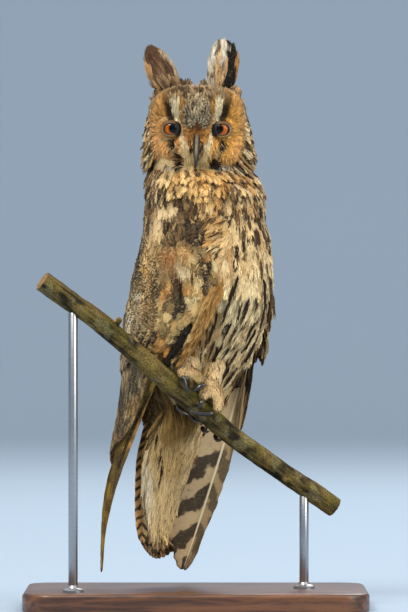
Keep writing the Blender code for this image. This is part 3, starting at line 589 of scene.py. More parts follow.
def makeLayTree(key, material):
    # Stands a feather on each root: faced along `lie`, lifted off the surface, then realised as plain mesh.
    tree, given, result = growTree("lay_" + key, {"Length": 1.0, "Breadth": 1.0, "Patch": 0.003})

    def named(name, kind):
        return put(tree, "GeometryNodeInputNamedAttribute", {"Name": name}, data_type=kind).outputs["Attribute"]

    group = put(tree, "GeometryNodeCollectionInfo", {"Separate Children": True, "Reset Children": True})
    group.inputs["Collection"].default_value = bpy.data.collections[key]
    stand = put(tree, "FunctionNodeAlignRotationToVector", {"Vector": named("facing", "FLOAT_VECTOR")}, axis="Z")
    point = put(tree, "FunctionNodeAlignRotationToVector", {
        "Rotation": stand.outputs["Rotation"],
        "Vector": named("lie", "FLOAT_VECTOR"),
    }, axis="Y", pivot_axis="Z")
    tilt = put(tree, "ShaderNodeCombineXYZ", {"X": named("lift", "FLOAT"), "Y": named("roll", "FLOAT")})
    turn = put(tree, "FunctionNodeEulerToRotation", {"Euler": tilt.outputs["Vector"]})
    final = put(tree, "FunctionNodeRotateRotation", {
        "Rotation": point.outputs["Rotation"],
        "Rotate By": turn.outputs["Rotation"],
    }, rotation_space="LOCAL")
    long = figure(tree, "MULTIPLY", named("size", "FLOAT"), given.outputs["Length"])
    wide = figure(tree, "MULTIPLY", named("breadth", "FLOAT"), given.outputs["Breadth"])
    scale = put(tree, "ShaderNodeCombineXYZ", {"X": wide, "Y": long, "Z": long})
    stood = put(tree, "GeometryNodeInstanceOnPoints", {
        "Points": given.outputs["Geometry"],
        "Instance": group.outputs["Instances"],
        "Pick Instance": True,
        "Instance Index": named("kind", "INT"),
        "Rotation": final.outputs["Rotation"],
        "Scale": scale.outputs["Vector"],
    })
    real = put(tree, "GeometryNodeRealizeInstances", {"Geometry": stood.outputs["Instances"]})
    patch = put(tree, "ShaderNodeVectorMath", {
        0: named("barb", "FLOAT_VECTOR"),
        "Scale": given.outputs["Patch"],
    }, operation="SCALE")
    place = put(tree, "ShaderNodeVectorMath", {
        0: named("rootPlace", "FLOAT_VECTOR"),
        1: patch.outputs[0],
    }, operation="ADD")
    flat = put(tree, "GeometryNodeStoreNamedAttribute", {
        "Geometry": real.outputs["Geometry"],
        "Name": "OFBake",
        "Value": place.outputs[0],
    }, data_type="FLOAT2", domain="CORNER")
    finish = put(tree, "GeometryNodeSetMaterial", {"Geometry": flat.outputs["Geometry"], "Material": material})
    tree.links.new(finish.outputs["Geometry"], result.inputs["Geometry"])
    return tree


def unwrapPlace(places, axis):
    # Where a root lies on the skin unrolled round an upright axis: turn and height.
    middle, low, high = axis
    turn = np.arctan2(places[:, 0] - middle[0], middle[1] - places[:, 1]) / (2 * math.pi) + 0.5
    rise = (places[:, 2] - low) / (high - low)
    return stacked(0.01 + 0.975 * turn, 0.01 + 0.975 * np.clip(rise, 0, 1), 0)


def layCoat(name, key, material, roots, axis, replaced=()):
    # One coat piece from a dictionary of root values.
    count = len(roots["at"])
    rng = np.random.default_rng(len(name) * 31 + count)
    values = dict.fromkeys(("streak", "dark", "speck"), np.zeros(count))
    values.update({"kind": rng.integers(0, 12, count), "streakTone": np.tile(tint("#3a2a1c"), (count, 1)), **roots})
    places = values.pop("at")
    values["rootPlace"] = unwrapPlace(places, axis)
    for label in ("size", "breadth"):
        values[label] = values[label] * mm
    mesh = bpy.data.meshes.new(name)
    mesh.vertices.add(count)
    movePoints(mesh, places)
    for label, value in values.items():
        keepValues(mesh, label, value)
    made = linked(name, mesh)
    runTree(made, makeLayTree(key, material))
    for label in ("lie", "facing", "size", "breadth", "lift", "roll", "kind", "rootPlace"):
        if label in made.data.attributes:
            made.data.attributes.remove(made.data.attributes[label])
    made.data.name = name
    placed(made, replaced)
    print(name + ":", count, "feathers,", triangles(made), "triangles")


# Finishes

def newFinish(name, roughness, sheen, specular, coat=(0, 0.03)):
    material = bpy.data.materials.new(name)
    material.use_nodes = True
    shader = material.node_tree.nodes["Principled BSDF"]
    labels = ("Roughness", "Sheen Weight", "Specular IOR Level", "Coat Weight", "Coat Roughness")
    for label, value in zip(labels, (roughness, sheen, specular, *coat)):
        shader.inputs[label].default_value = value
    return material, material.node_tree, shader


def attribute(tree, name, output="Color"):
    return put(tree, "ShaderNodeAttribute", attribute_name=name).outputs[output]


def blended(tree, first, second, share):
    # Between two colours, each given as a socket, light values or a code.
    node = put(tree, "ShaderNodeMix", {0: share}, data_type="RGBA")
    for socket, value in ((node.inputs[6], first), (node.inputs[7], second)):
        if isinstance(value, bpy.types.NodeSocket):
            tree.links.new(value, socket)
        else:
            socket.default_value = (*(tint(value) if isinstance(value, str) else value), 1)
    return node.outputs[2]


def figure(tree, operation, *values):
    return put(tree, "ShaderNodeMath", dict(enumerate(values)), operation=operation).outputs[0]


def ranged(tree, value, low, high, first=0, last=1):
    return put(tree, "ShaderNodeMapRange", {
        "Value": value, "From Min": low, "From Max": high, "To Min": first, "To Max": last,
    }, interpolation_type="SMOOTHSTEP").outputs[0]


def objectPlace(tree, scale=None):
    # The place on the piece, stretched if wanted.
    place = put(tree, "ShaderNodeTexCoord").outputs["Object"]
    return put(tree, "ShaderNodeMapping", {"Vector": place, "Scale": scale}).outputs["Vector"] if scale else place


def barbPlace(tree):
    # The places across and along a feather, from its own map.
    place = put(tree, "ShaderNodeSeparateXYZ", {0: put(tree, "ShaderNodeUVMap", uv_map="barb").outputs["UV"]})
    return place.outputs["X"], place.outputs["Y"]


def clouded(tree, place, scale, detail, **more):
    return put(tree, "ShaderNodeTexNoise", {"Vector": place, "Scale": scale, "Detail": detail, **more}).outputs["Fac"]


def scaled(tree, colour, share):
    return put(tree, "ShaderNodeVectorMath", {0: colour, "Scale": share}, operation="SCALE").outputs[0]


def surfaced(tree, shader, colour, height, strength, depth=0.0002):
    # Feeds a finish its colour and its fine relief.
    tree.links.new(colour, shader.inputs["Base Color"])
    bump = put(tree, "ShaderNodeBump", {"Strength": strength, "Distance": depth, "Height": height})
    tree.links.new(bump.outputs["Normal"], shader.inputs["Normal"])


def vermiculated(tree, colour, where, size):
    # Fine wavy dark and pale lines that run crosswise, as strong as the feather's `speck`.
    flat = put(tree, "ShaderNodeMapping", {"Vector": where, "Scale": (0.55, 0.55, 1)}).outputs["Vector"]
    mottle = clouded(tree, flat, 1000 / size, 2, Roughness=0.6)
    speck = attribute(tree, "speck", "Fac")
    for tone, low, high, strength in (("#20150c", 0.51, 0.57, 0.92), ("#e4c894", 0.46, 0.38, 0.6)):
        share = figure(tree, "MULTIPLY", ranged(tree, mottle, low, high), figure(tree, "MULTIPLY", speck, strength))
        colour = blended(tree, colour, tone, share)
    return colour


def plumage(name, speckSize=1.1, gloss=0.66):
    # The finish of every laid feather: tone along its length, a dark shaft streak, fine mottling and single barbs.
    material, tree, shader = newFinish(name, gloss, 0.06, 0.14)
    across, along = barbPlace(tree)
    fromMiddle = figure(tree, "ABSOLUTE", figure(tree, "SUBTRACT", across, 0.5))
    colour = blended(tree, attribute(tree, "tone"), attribute(tree, "tipTone"), ranged(tree, along, 0.3, 0.95))
    where = objectPlace(tree)
    colour = vermiculated(tree, colour, where, speckSize)
    inside = ranged(tree, figure(tree, "SUBTRACT", attribute(tree, "streak", "Fac"), fromMiddle), -0.05, 0.05)
    ends = figure(tree, "MULTIPLY", ranged(tree, along, 0.02, 0.2), ranged(tree, along, 1.08, 0.86))
    share = figure(tree, "MULTIPLY", figure(tree, "MULTIPLY", inside, ends), attribute(tree, "dark", "Fac"))
    colour = blended(tree, colour, attribute(tree, "streakTone"), share)
    grain = ranged(tree, attribute(tree, "grain", "Fac"), 0, 1, 0.8, 1.14)
    surfaced(tree, shader, scaled(tree, colour, grain), clouded(tree, where, 2600, 1), 0.25)
    return material


featherFinish = plumage("plumage")
faceFinish = plumage("facePlumage", 0.7, 0.7)
wingFinish = plumage("wingPlumage", 1.25, 0.62)


# Where things lie in the picture, for markings that the photo shows

pictureSizes = {
    "middle": (204, 306), "viewX": 6.08, "viewZ": 228.4, "range": 4000,
    # millimetres a pixel, at the middle of the bird and at its breast
    "perPixel": 0.76, "nearPixel": 0.754,
}


def seen(points):
    # The picture place of each point, in pixels of a 408 by 612 frame.
    grow = pictureSizes["range"] / (pictureSizes["range"] + points[:, 1]) / pictureSizes["perPixel"]
    px = pictureSizes["middle"][0] + (points[:, 0] - pictureSizes["viewX"]) * grow
    py = pictureSizes["middle"][1] - (points[:, 2] - pictureSizes["viewZ"]) * grow
    return px, py


def fromPicture(spots):
    # The x and z of picture places on the bird's front.
    x = pictureSizes["viewX"] + (spots[..., 0] - pictureSizes["middle"][0]) * pictureSizes["nearPixel"]
    z = pictureSizes["viewZ"] - (spots[..., 1] - pictureSizes["middle"][1]) * pictureSizes["nearPixel"]
    return x, z


def painted(colour, px, py, spots):
    # Soft ovals of colour over a base: x, y, half width, half height, tint and strength.
    for spot in spots:
        colour = mixed(colour, spot[4], blob(px, py, spot[:4]) * spot[5])
    return colour


# Markings of the head, in millimetres as seen from the front, with painted light on the disc's right half

headMarks = {
    "middle": 1,
    # disc tints: the right half is painted lighter and more orange than the left, as painted light from the right
    "discUpperLeft": "#c4883f", "discLowLeft": "#d69a58", "discUpperRight": "#cc8f3a", "discLowRight": "#e2a24f",
    "browLeft": [(-15.8, 385.8), (-14.6, 375), (-12.6, 365.2), (-9.8, 355.7), (-7.7, 345.9), (-6.5, 336)],
    "browRight": [(17.7, 385.8), (16, 375), (13.4, 365.2), (10.1, 355.7), (8.2, 345.9), (6.9, 336)],
    "browHalves": (2.9, 2.5, 1.8, 1.2, 1.7, 2.3),
    "bandLeft": [(-22.4, 389), (-19.8, 379.8), (-18.2, 370.8), (-16.4, 364.7)],
    "bandRight": [(24.6, 388.1), (22.4, 380), (20.6, 371.8), (18, 364.7)],
    "whiskerLeft": [(-19.5, 339), (-14, 337.4), (-8.5, 334.5)],
    "whiskerRight": [(9.4, 341), (14, 338.5), (19, 336)],
    "forehead": (0.8, 374, 10.8, 14),
    "bristleLeft": [(-7.6, 346), (-5.4, 340), (-4.4, 334)],
    "bristleRight": [(5.6, 347), (7.8, 340), (8, 335)],
}


def nearMark(x, z, name):
    return nearLine(x, z, headMarks[name])


def foreheadShare(x, z):
    # 0 at the middle of the forehead's grey patch and 1 on its rim.
    middleX, middleZ, wide, tall = headMarks["forehead"]
    return np.hypot((x - middleX) / wide, (z - middleZ) / tall)


def headColour(points):
    # Base and tip tones of the head's feathers.
    x, z = points[:, 0], points[:, 2]
    aside = np.abs(x - headMarks["middle"])
    share = faceShare(x, z)
    front = smooth(-4, -14, points[:, 1])
    low = smooth(378, 346, z)
    left = mixed(headMarks["discUpperLeft"], headMarks["discLowLeft"], low)
    right = mixed(headMarks["discUpperRight"], headMarks["discLowRight"], low)
    # the disc's right half is painted lighter than its left: painted light from the right
    face = mixed(left, right, smooth(-3, 3, x))
    face = mixed(face, "#d6a468", smooth(0.66, 0.92, share) * 0.5)
    # rays round the eyes, dark round their inner sides and pale lines above and below
    eyeAway, eye = fromEyes(points, 1.12)
    centres = np.array(list(eyeCentres.values()))[eye]
    turn = np.arctan2(z - centres[:, 2], x - centres[:, 0])
    rays = noise(stacked(turn * 9 + eye * 40, eyeAway * 0.12, 0), 1, 3)
    face = face * (0.8 + 0.44 * rays)[:, None]
    inner = smooth(24, 14, aside)
    face = mixed(face, "#1c120b", (1 - smooth(6.4, 10.5, eyeAway)) * np.clip(0.15 + 0.95 * inner, 0, 1))
    under = blob(x, z, (-24, 352.6, 5.4, 1.6)) + blob(x, z, (-23, 370, 7, 1.5)) * 0.7
    face = mixed(face, "#c9a777", np.clip(under, 0, 0.8))
    for name in ("bandLeft", "bandRight"):
        away, _ = nearMark(x, z, name)
        face = mixed(face, "#22160c", (1 - smooth(1.8, 5.4, away)) * (0.97 - 0.35 * smooth(380, 387, z)))
    for spot in ((-16.8, 352.3, 1.8, 1.4), (18.7, 351.3, 1.8, 1.4)):
        face = mixed(face, "#21150b", blob(x, z, spot) * 0.9)
    for name in ("whiskerLeft", "whiskerRight"):
        face = mixed(face, "#4b3218", (1 - smooth(0.8, 3.6, nearMark(x, z, name)[0])) * 0.5)
    # the speckled forehead and the white brows beside it
    oval = foreheadShare(x, z)
    mottle = noise(points, 1, 5) * 0.7 + noise(points, 3.4, 6) * 0.3
    grey = mixed("#4a3a2a", "#b9a37f", smooth(0.3, 0.7, mottle))
    grey = mixed(grey, "#a5783f", smooth(0.8, 1.05, oval) * 0.75)
    top = mixed("#4e3a26", "#ab8f68", smooth(0.35, 0.65, noise(points, 2, 7)))
    face = mixed(face, top, smooth(379, 387, z) * smooth(25, 18, aside))
    face = mixed(face, grey, 1 - smooth(0.85, 1.15, oval))
    for name in ("browLeft", "browRight"):
        away, t = nearMark(x, z, name)
        half = np.interp(t, (0, 0.2, 0.4, 0.6, 0.8, 1), headMarks["browHalves"])
        inside = aside < np.interp(z, (344, 386), (4.5, 16))
        face = mixed(face, "#a5713a", (1 - smooth(half + 0.4, half + 2.2, away)) * inside * 0.7)
        face = mixed(face, "#f6dcab", (1 - smooth(half - 0.6, half + 0.9, away)) * smooth(388, 383.5, z))
    # the bill's root, the bristles beside it and the chin
    face = mixed(face, "#8a5827", blob(x, z, (0.6, 359, 5, 6.8)) * 0.9)
    ridge = (1 - smooth(0.5, 1.9, np.abs(x - 0.9))) * smooth(346, 352, z) * smooth(372, 362, z)
    face = mixed(face, "#3a2412", ridge * 0.8)
    for name in ("bristleLeft", "bristleRight"):
        face = mixed(face, "#d6c393", (1 - smooth(1.2, 3.4, nearMark(x, z, name)[0])) * 0.85)
    chin = blob(x, z, (1, 331.5, 10, 4.5))
    face = mixed(face, mixed("#4a3720", "#b59a72", noise(points, 1.8, 8)), chin * 0.9)
    # dark, pale and white edges of the disc, then the crown and nape behind it
    rim = np.exp(-(((share - 0.945) / 0.025) ** 2)) * smooth(389, 378, z)
    face = mixed(face, "#4b3520", rim * 0.6)
    paleRim = np.exp(-(((share - 0.97) / 0.016) ** 2)) * smooth(24, 32, x)
    paleRim = paleRim * smooth(342, 350, z) * smooth(384, 374, z)
    face = mixed(face, "#cfc0a3", paleRim * smooth(0.3, 0.6, noise(points, 2.2, 10)) * 0.85)
    white = smooth(0.94, 0.98, share) * smooth(335, 331.5, z) * smooth(320, 326, z) * smooth(14, 24, aside)
    face = mixed(face, "#e2d6c0", white * smooth(0.25, 0.6, noise(points, 2.4, 9)) * 0.9)
    crown = mixed("#5b4630", "#b79d79", smooth(0.3, 0.7, noise(points, 3.6, 11)))
    nape = mixed("#8a6a44", "#c0a784", noise(points, 4.5, 12))
    rear = mixed(crown, nape, smooth(380, 350, z))
    outside = np.maximum(smooth(0.95, 1, share), 1 - front)
    return mixed(face, rear, outside * (1 - white))


# Markings of the body

bodyMarks = [
    # x, y, half width, half height, tint and strength of each soft mark, in picture places
    (150, 185, 12, 34, "#ceb58e", 0.85),
    (203, 190, 30, 22, "#d9a964", 0.8),
    (250, 205, 20, 40, "#cdb085", 0.7),
    (245, 262, 24, 34, "#d4b684", 0.7),
    (264, 292, 14, 44, "#ead09c", 0.85),
    (232, 324, 30, 40, "#d9bf8e", 0.85),
    (224, 258, 8, 26, "#a9743c", 0.7),
    (211, 232, 11, 15, "#b98445", 0.75),
    (212, 330, 10, 26, "#a77b43", 0.6),
]


bandSizes = {
    # in picture places: the dark wrist, and the pale shoulder band and ochre edge as lines with half widths; the ochre
    # edge is the flank's own orange-buff with painted shade where wing meets belly
    "wrist": [(180, 228, 15, 22), (188, 211, 9, 12), (194, 236, 6, 15)],
    "pale": ([(174, 212), (164, 220), (156, 234), (151, 252), (147, 276)], 4.6),
    "ochre": ([(221, 282), (207, 316), (192, 348), (176, 372)], 5),
}


def marbled(points):
    # Dark, warm and pale patches, drawn out lengthwise, as on wings and back.
    tall = points * (1, 1, 0.55)
    patches = noise(tall, 3.6, 30) * 0.5 + noise(tall, 9, 33) * 0.5
    base = mixed("#36261a", "#c49c60", smooth(0.38, 0.64, patches))
    base = mixed(base, "#c08744", smooth(0.58, 0.8, noise(points, 8, 31)) * 0.65)
    return mixed(base, "#e0c083", smooth(0.7, 0.82, noise(points, 6, 32)) * 0.7)


def banded(colour, points, px, py):
    # The dark wrist, and the band and edge that cross both wing and body; the edge is orange-buff flank darkened with
    # painted shade.
    wrist = np.clip(sum(blob(px, py, spot) for spot in bandSizes["wrist"]), 0, 1)
    fleck = mixed("#2b1f16", "#8d6c44", smooth(0.48, 0.78, noise(points, 2.2, 18)))
    colour = mixed(colour, fleck, smooth(0.1, 0.4, wrist) * 0.95)
    line, half = bandSizes["pale"]
    away, t = nearLine(px, py, line)
    tone = mixed("#f4d09a", "#dfaa5c", smooth(0.45, 1, t))
    colour = mixed(colour, tone, 1 - smooth(half * 0.7, half * 1.35, away))
    # the ochre edge: the flank's orange-buff, darkened with painted shade along the crease between wing and belly
    line, half = bandSizes["ochre"]
    away, _ = nearLine(px, py, line)
    grain = noise(points * (1, 1, 0.2), 3, 19)
    tone = mixed("#8a5a1c", "#c08a42", grain)
    return mixed(colour, tone, 1 - smooth(half * 0.6, half * 1.4, away))


def bodyColour(points, normals):
    # Tones of neck, breast, belly and back.
    px, py = seen(points)
    facing = normals @ chestFront
    front = smooth(-0.35, 0.15, facing)
    base = painted("#d8b881", px, py, bodyMarks)
    bands = noise(points * (1, 1, 0.2), 4.2, 14)
    high = smooth(240, 290, points[:, 2])
    base = mixed(base, mixed("#ead2a0", "#dcb87c", high), smooth(0.5, 0.8, bands) * 0.7)
    base = mixed(base, "#b9803a", smooth(0.5, 0.2, bands) * (0.3 + 0.5 * high))
    base = base * (0.95 + 0.2 * noise(points, 3, 16))[:, None]
    shoulder = smooth(160, 150, px) * smooth(192, 206, py)
    fleck = mixed("#46362a", "#c9ae85", smooth(0.3, 0.62, noise(points, 2.6, 17)))
    base = mixed(base, fleck, shoulder)
    colour = mixed(marbled(points), banded(base, points, px, py), front)
    return mixed(colour, "#5e3f12", blob(px, py, (157, 403, 17, 24)) * 0.9)


# The coat of head and body

headAxis = ((1, 0), 320, 400)
bodyAxis = ((4, -2), 100, 355)


def lay(name, key, finish, slot, rng, places, outs, ways, size, breadth, lift, colour, **more):
    # A coat whose feathers each differ a little in size, lie and tone.
    count = len(places)
    change = 1 + rng.normal(0, more.pop("vary", 0.12), (count, 1))
    roots = {
        "at": places, "facing": outs, "lie": unit(ways + rng.normal(0, more.pop("stray", 0.09), places.shape)),
        "size": size * rng.uniform(0.8, 1.2, count), "breadth": breadth * rng.uniform(0.8, 1.2, count),
        "lift": lift + rng.normal(0, 0.04, count), "roll": rng.normal(0, 0.12, count),
        "tone": np.clip(colour * change * more.pop("root", 0.8), 0, 1),
        "tipTone": np.clip(colour * change * 1.14, 0, 1),
    }
    axis = more.pop("axis", bodyAxis)
    replaced = more.pop("replaced", ())
    roots.update({label: np.broadcast_to(value, np.shape(value) or (count,)) for label, value in more.items()})
    layCoat(name, key, finish, roots, axis, replaced)


def flowOn(normals, ways):
    return unit(ways - normals * (ways * normals).sum(axis=1)[:, None])


def frontFlow(points, normals):
    # The lie of breast and belly feathers: down, drawn in to the feet and swept back over the wings' edges.
    x, z = points[:, 0], points[:, 2]
    ways = np.zeros_like(points)
    ways[:, 2] = -1
    meeting = np.interp(z, (190, 260, 330), (62, 110, 400))
    ways[:, 0] = -(x - np.interp(z, (190, 330), (0, 6))) / meeting
    ways[:, 1] = 0.12
    ways[:, 0] -= 1.1 * blob(x, z, (13, 284, 15, 15))
    return flowOn(normals, ways)


skinChest = skinNormals @ chestFront
isHead = skinOwner == 0
isNeck = skinOwner == 1
isTorso = skinOwner == 2
isLeg = (skinOwner == 3) | (skinOwner == 4)
isFoot = skinOwner >= 5
skinShare = faceShare(skinPoints[:, 0], skinPoints[:, 2])
skinFace = isHead & (skinShare < 0.97) & (skinPoints[:, 1] < -10)


def fromEyes(points, wide=1, tall=1):
    # The distance to the nearer eye's middle as seen from the front, and which eye that is.
    away = [np.hypot((points[:, 0] - centre[0]) / wide, (points[:, 2] - centre[2] + 0.2) / tall)
            for centre in eyeCentres.values()]
    return np.minimum(*away), np.argmin(away, axis=0)


def coatFace():
    # Fine hair-like barbs that fan out from each eye and stand upright on the forehead.
    middle = headMarks["middle"]
    faceCoat = {"spacing": 0.86, "length": 5.4, "breadth": 1.4, "lift": 0.2, "foreheadLength": 2.9, "rimReach": 11.5}
    rng = np.random.default_rng(101)
    clear = fromEyes(skinPoints, 6.1, 4.8)[0] > 1
    places, outs = scatter(skin, skinFace & clear, faceCoat["spacing"], 11)
    away, eye = fromEyes(places)
    centres = np.array(list(eyeCentres.values()))[eye]
    fromCentre = places - centres
    reach = np.linalg.norm(fromCentre, axis=1)
    onRim = reach < faceCoat["rimReach"]
    places = np.where(onRim[:, None], centres + fromCentre / reach[:, None] * faceCoat["rimReach"], places)
    outs = np.where(onRim[:, None], unit(fromCentre), outs)
    x, z = places[:, 0], places[:, 2]
    count = len(places)
    ways = unit(fromCentre * (1, 0, 1))
    upright = unit(stacked(0.025 * (x - middle), 0.2, 1))
    ways = mixed(ways, upright, smooth(364, 374, z) * smooth(15, 6, np.abs(x - middle)))
    downward = unit(stacked(0.35 * np.sign(x - middle), -0.25, -1))
    ways = mixed(ways, downward, smooth(13, 7, np.abs(x - middle)) * smooth(362, 354, z))
    size = faceCoat["length"] * np.interp(away, (6, 10, 20), (0.5, 0.85, 1.15))
    colour = headColour(places + ways * size[:, None] * 0.7)
    salted = (foreheadShare(x, z) < 1.05) & (rng.random(count) < 0.85) & (z > 359)
    colour = mixed(colour, mixed("#42321f", "#d6be95", rng.random(count)), salted)
    brow = np.minimum(nearMark(x, z, "browLeft")[0], nearMark(x, z, "browRight")[0])
    size = size * (1 + 0.3 * (1 - smooth(2, 5, brow)))
    size = np.where(salted, faceCoat["foreheadLength"], size)
    lay("face_plumage", "tuft", faceFinish, "head", rng, places, outs, ways, size, faceCoat["breadth"],
        faceCoat["lift"], colour, axis=headAxis, vary=0.15, speck=0, stray=0.12, streak=0.25,
        dark=(rng.random(count) < 0.16) * 0.35)


def coatCrown():
    # The top, sides and back of the head.
    crownCoat = {"spacing": 1.5, "length": 7.5, "breadth": 3, "lift": 0.12, "tuftMiddles": (-19, 18.5)}
    rng = np.random.default_rng(102)
    places, outs = scatter(skin, isHead & ~skinFace, crownCoat["spacing"], 12)
    x, y, z = places.T
    count = len(places)
    fromMiddle = x - headMarks["middle"]
    ways = stacked(0.012 * fromMiddle, 0.8, -0.7)
    rimmed = smooth(-12, -24, y)
    aroundFace = stacked(fromMiddle / 38, 0.5, (z - 362) / 34)
    ways = flowOn(outs, mixed(unit(ways), unit(aroundFace), rimmed))
    hanging = smooth(356, 346, z) * smooth(-12, 0, y)
    ways = mixed(ways, unit(stacked(0, 0.06 * y, -2.2)), hanging)
    outs = mixed(outs, unit(outs * (1, 1, 0.15)), hanging)
    for tuftMiddle in crownCoat["tuftMiddles"]:
        # the feathers at each ear tuft's foot stand up
        aside = x - tuftMiddle
        raised = smooth(1.3, 0.8, np.hypot(aside / 15, (y + 8) / 9)) * smooth(380, 386, z)
        rising = unit(stacked(0.02 * aside, 0.1, 1))
        ways = mixed(ways, rising, raised)
        level = unit(stacked(0.06 * aside, np.where(y < -8, -1, 1), 0))
        outs = mixed(outs, level, raised)
    size = crownCoat["length"] * (1 - 0.3 * rimmed) * (1 + 0.9 * hanging)
    lay("crown_plumage", "fine", featherFinish, "head", rng, places, outs, ways, size,
        crownCoat["breadth"], crownCoat["lift"], headColour(places), axis=headAxis, vary=0.16, speck=0.5, streak=0.13,
        dark=(rng.random(count) < 0.5) * 0.8 * (z > 366))


def coatRuff():
    # The stiff speckled feathers behind the face, at its sides and under the chin.
    ruffCoat = {"spacing": 1.2, "sideLength": (15, 5), "chinLength": 9, "breadth": 2.1}
    _, y, z = skinPoints.T
    sides = (skinShare > 0.88) & (y > -34) & (y < 10) & (z < 374)
    chin = (skinShare > 0.88) & (y <= -14) & (z < 344)
    rng = np.random.default_rng(106)
    places, outs = scatter(skin, isHead & (sides | chin), ruffCoat["spacing"], 19)
    x, y, z = places.T
    count = len(places)
    fromMiddle = x - headMarks["middle"]
    edge = smooth(14, 30, np.abs(fromMiddle)) * smooth(-36, -28, y)
    outward = np.interp(z, (332, 346, 358, 374), (0.75, 0.5, 0.35, 0.1))
    outward = outward * np.where(x > 0, 1.05, -0.45 * smooth(354, 340, z))
    outs = unit(outs * (1 - 0.75 * edge)[:, None] + (forward + outs * 0.3) * edge[:, None])
    ways = stacked(outward * edge + 0.012 * fromMiddle, 0.12 * edge - 0.12, -1)
    pick = rng.random(count)
    colour = mixed(mixed("#d2b78a", "#a8824f", pick < 0.7), "#372819", pick < 0.28)
    px, py = seen(places)
    white = blob(px, py, (153, 172, 7, 4)) + blob(px, py, (240, 165, 8, 3.5))
    colour = mixed(colour, "#ead8b4", np.clip(white, 0, 0.6))
    colour = mixed(colour, "#e0c693", blob(px, py, (197, 170, 7, 5)) * 0.7)
    tan = (1 - edge) * smooth(332, 337, z) * smooth(10, 16, np.abs(fromMiddle))
    colour = mixed(colour, "#bd9055", tan * 0.8)
    size = np.interp(z, (342, 372), ruffCoat["sideLength"]) * edge + ruffCoat["chinLength"] * (1 - edge)
    lay("ruff_plumage", "fine", featherFinish, "head", rng, places, outs, unit(ways), size, ruffCoat["breadth"],
        0.1 + 0.2 * edge, colour, axis=headAxis, stray=0.13, speck=0.3)


def alongLine(rng, line, count, spread, squash=1):
    # Random places along a line, and the line's step at each.
    line = np.array(line)
    t = rng.uniform(0, len(line) - 1, count)
    k = np.minimum(t.astype(int), len(line) - 2)
    step = line[k + 1] - line[k]
    return line[k] + step * (t - k)[:, None] + rng.normal(0, spread, (count, 2)) * squash, step


bristleTones = {
    "pale": ("#e6ca92", "#c2a066"), "tan": ("#e2c58c", "#b28f55"), "black": ("#120b06", "#2e2013"),
    "salted": ("#1c130c", "#cdbb97"), "brown": ("#1b1109", "#4a3118"), "mixed": ("#1d130b", "#c9a26a"),
    "chin": ("#8c6b3e", "#d9bd88"), "ginger": ("#6f431a", "#b27a3c"), "ridge": ("#2c190d", "#7a4a20"),
}
bristleRows = [
    # line in x and z, half width, count, length, breadth, how far in front, lie, tones
    ([(-8.8, 354), (-7, 345), (-5.2, 336)], 1.6, 260, 10, 1.4, 0.3, (0.12, -0.95, -0.75), "pale"),
    ([(9.6, 354), (8.2, 345), (6.4, 336)], 1.6, 260, 10, 1.4, 0.3, (-0.12, -0.95, -0.75), "pale"),
    ([(-6.4, 346), (-5, 341), (-3.4, 334.5)], 1.2, 110, 11, 1.3, 2.6, (0.05, -0.6, -1), "tan"),
    ([(7.4, 346), (6.4, 341), (4.4, 334.5)], 1.2, 110, 11, 1.3, 2.6, (-0.05, -0.6, -1), "tan"),
    ([(-3, 336), (0.2, 334.5), (3.4, 336)], 1.2, 160, 9, 1.4, 0.4, (0, -0.9, -0.9), "chin"),
    ([(-8.8, 336.5), (-10.4, 339.5)], 0.8, 6, 10.5, 0.75, 1.8, (-1, -0.3, 0.55), "black"),
    ([(-9, 334.5), (-11.4, 337)], 1, 8, 10, 0.75, 1.8, (-1, -0.3, 0.1), "black"),
    ([(-9.6, 333), (-12.8, 334)], 1, 6, 8.5, 0.75, 1.8, (-0.8, -0.3, -0.5), "black"),
    ([(10, 335.6), (12.5, 338)], 0.9, 14, 10.5, 1, 1.8, (1, -0.3, 0.5), "black"),
    ([(10, 333.5), (13, 335)], 1, 12, 9, 1, 1.8, (1, -0.3, -0.15), "black"),
    ([(-13, 331), (-22, 333)], 1.6, 46, 6.5, 1.6, 0.8, (-0.35, -0.3, -1), "salted"),
    ([(13, 331.5), (22, 335)], 1.6, 46, 6.5, 1.6, 0.8, (0.35, -0.3, -1), "salted"),
    ([(-4.4, 357), (-3.4, 349)], 0.9, 180, 8, 1.2, 0.4, (0.06, -1, -0.6), "brown"),
    ([(5.4, 357), (4.4, 349)], 0.9, 180, 8, 1.2, 0.4, (-0.06, -1, -0.6), "brown"),
    ([(-18.5, 353), (-11.5, 343)], 2.6, 190, 6, 1.1, 0.3, (-0.6, -0.3, -0.9), "mixed"),
    ([(19.5, 352), (13, 343)], 2.6, 190, 6, 1.1, 0.3, (0.6, -0.3, -0.9), "mixed"),
    ([(-17.6, 353.5), (-15.6, 349)], 0.7, 40, 5, 1.1, 0.8, (-0.6, -0.3, -0.9), "black"),
    ([(19.6, 352.5), (17.6, 348)], 0.7, 40, 5, 1.1, 0.8, (0.6, -0.3, -0.9), "black"),
    ([(-4.4, 359.5), (0.4, 362.5), (5.2, 359.5)], 1.2, 420, 10.5, 1.6, 0.3, (0, -1, -0.6), "ginger"),
    ([(0.3, 367.5), (0.4, 361.5)], 0.8, 90, 8, 1.2, 0.5, (0, -0.8, -0.9), "ridge"),
]


def coatBristles():
    # Bristles over the bill's root and beside it, and the dark whiskers.
    rng = np.random.default_rng(107)
    gathered = []
    for line, half, count, length, breadth, proud, way, tones in bristleRows:
        spots, _ = alongLine(rng, line, count, half * 0.5)
        places, outs = onFront(spots[:, 0], spots[:, 1])
        row = np.ones((len(places), 1))
        tone = mixed(*bristleTones[tones], rng.random(len(places)))
        gathered.append(np.hstack([
            places + forward * proud, unit(outs + forward), row * np.array(way), row * length, row * breadth, tone,
        ]))
    table = np.concatenate(gathered)
    lay("face_bristles", "tuft", faceFinish, "head", rng, table[:, 0:3], table[:, 3:6], unit(table[:, 6:9]),
        table[:, 9], table[:, 10], 0.1, table[:, 11:14], axis=headAxis, stray=0.14, vary=0.08)


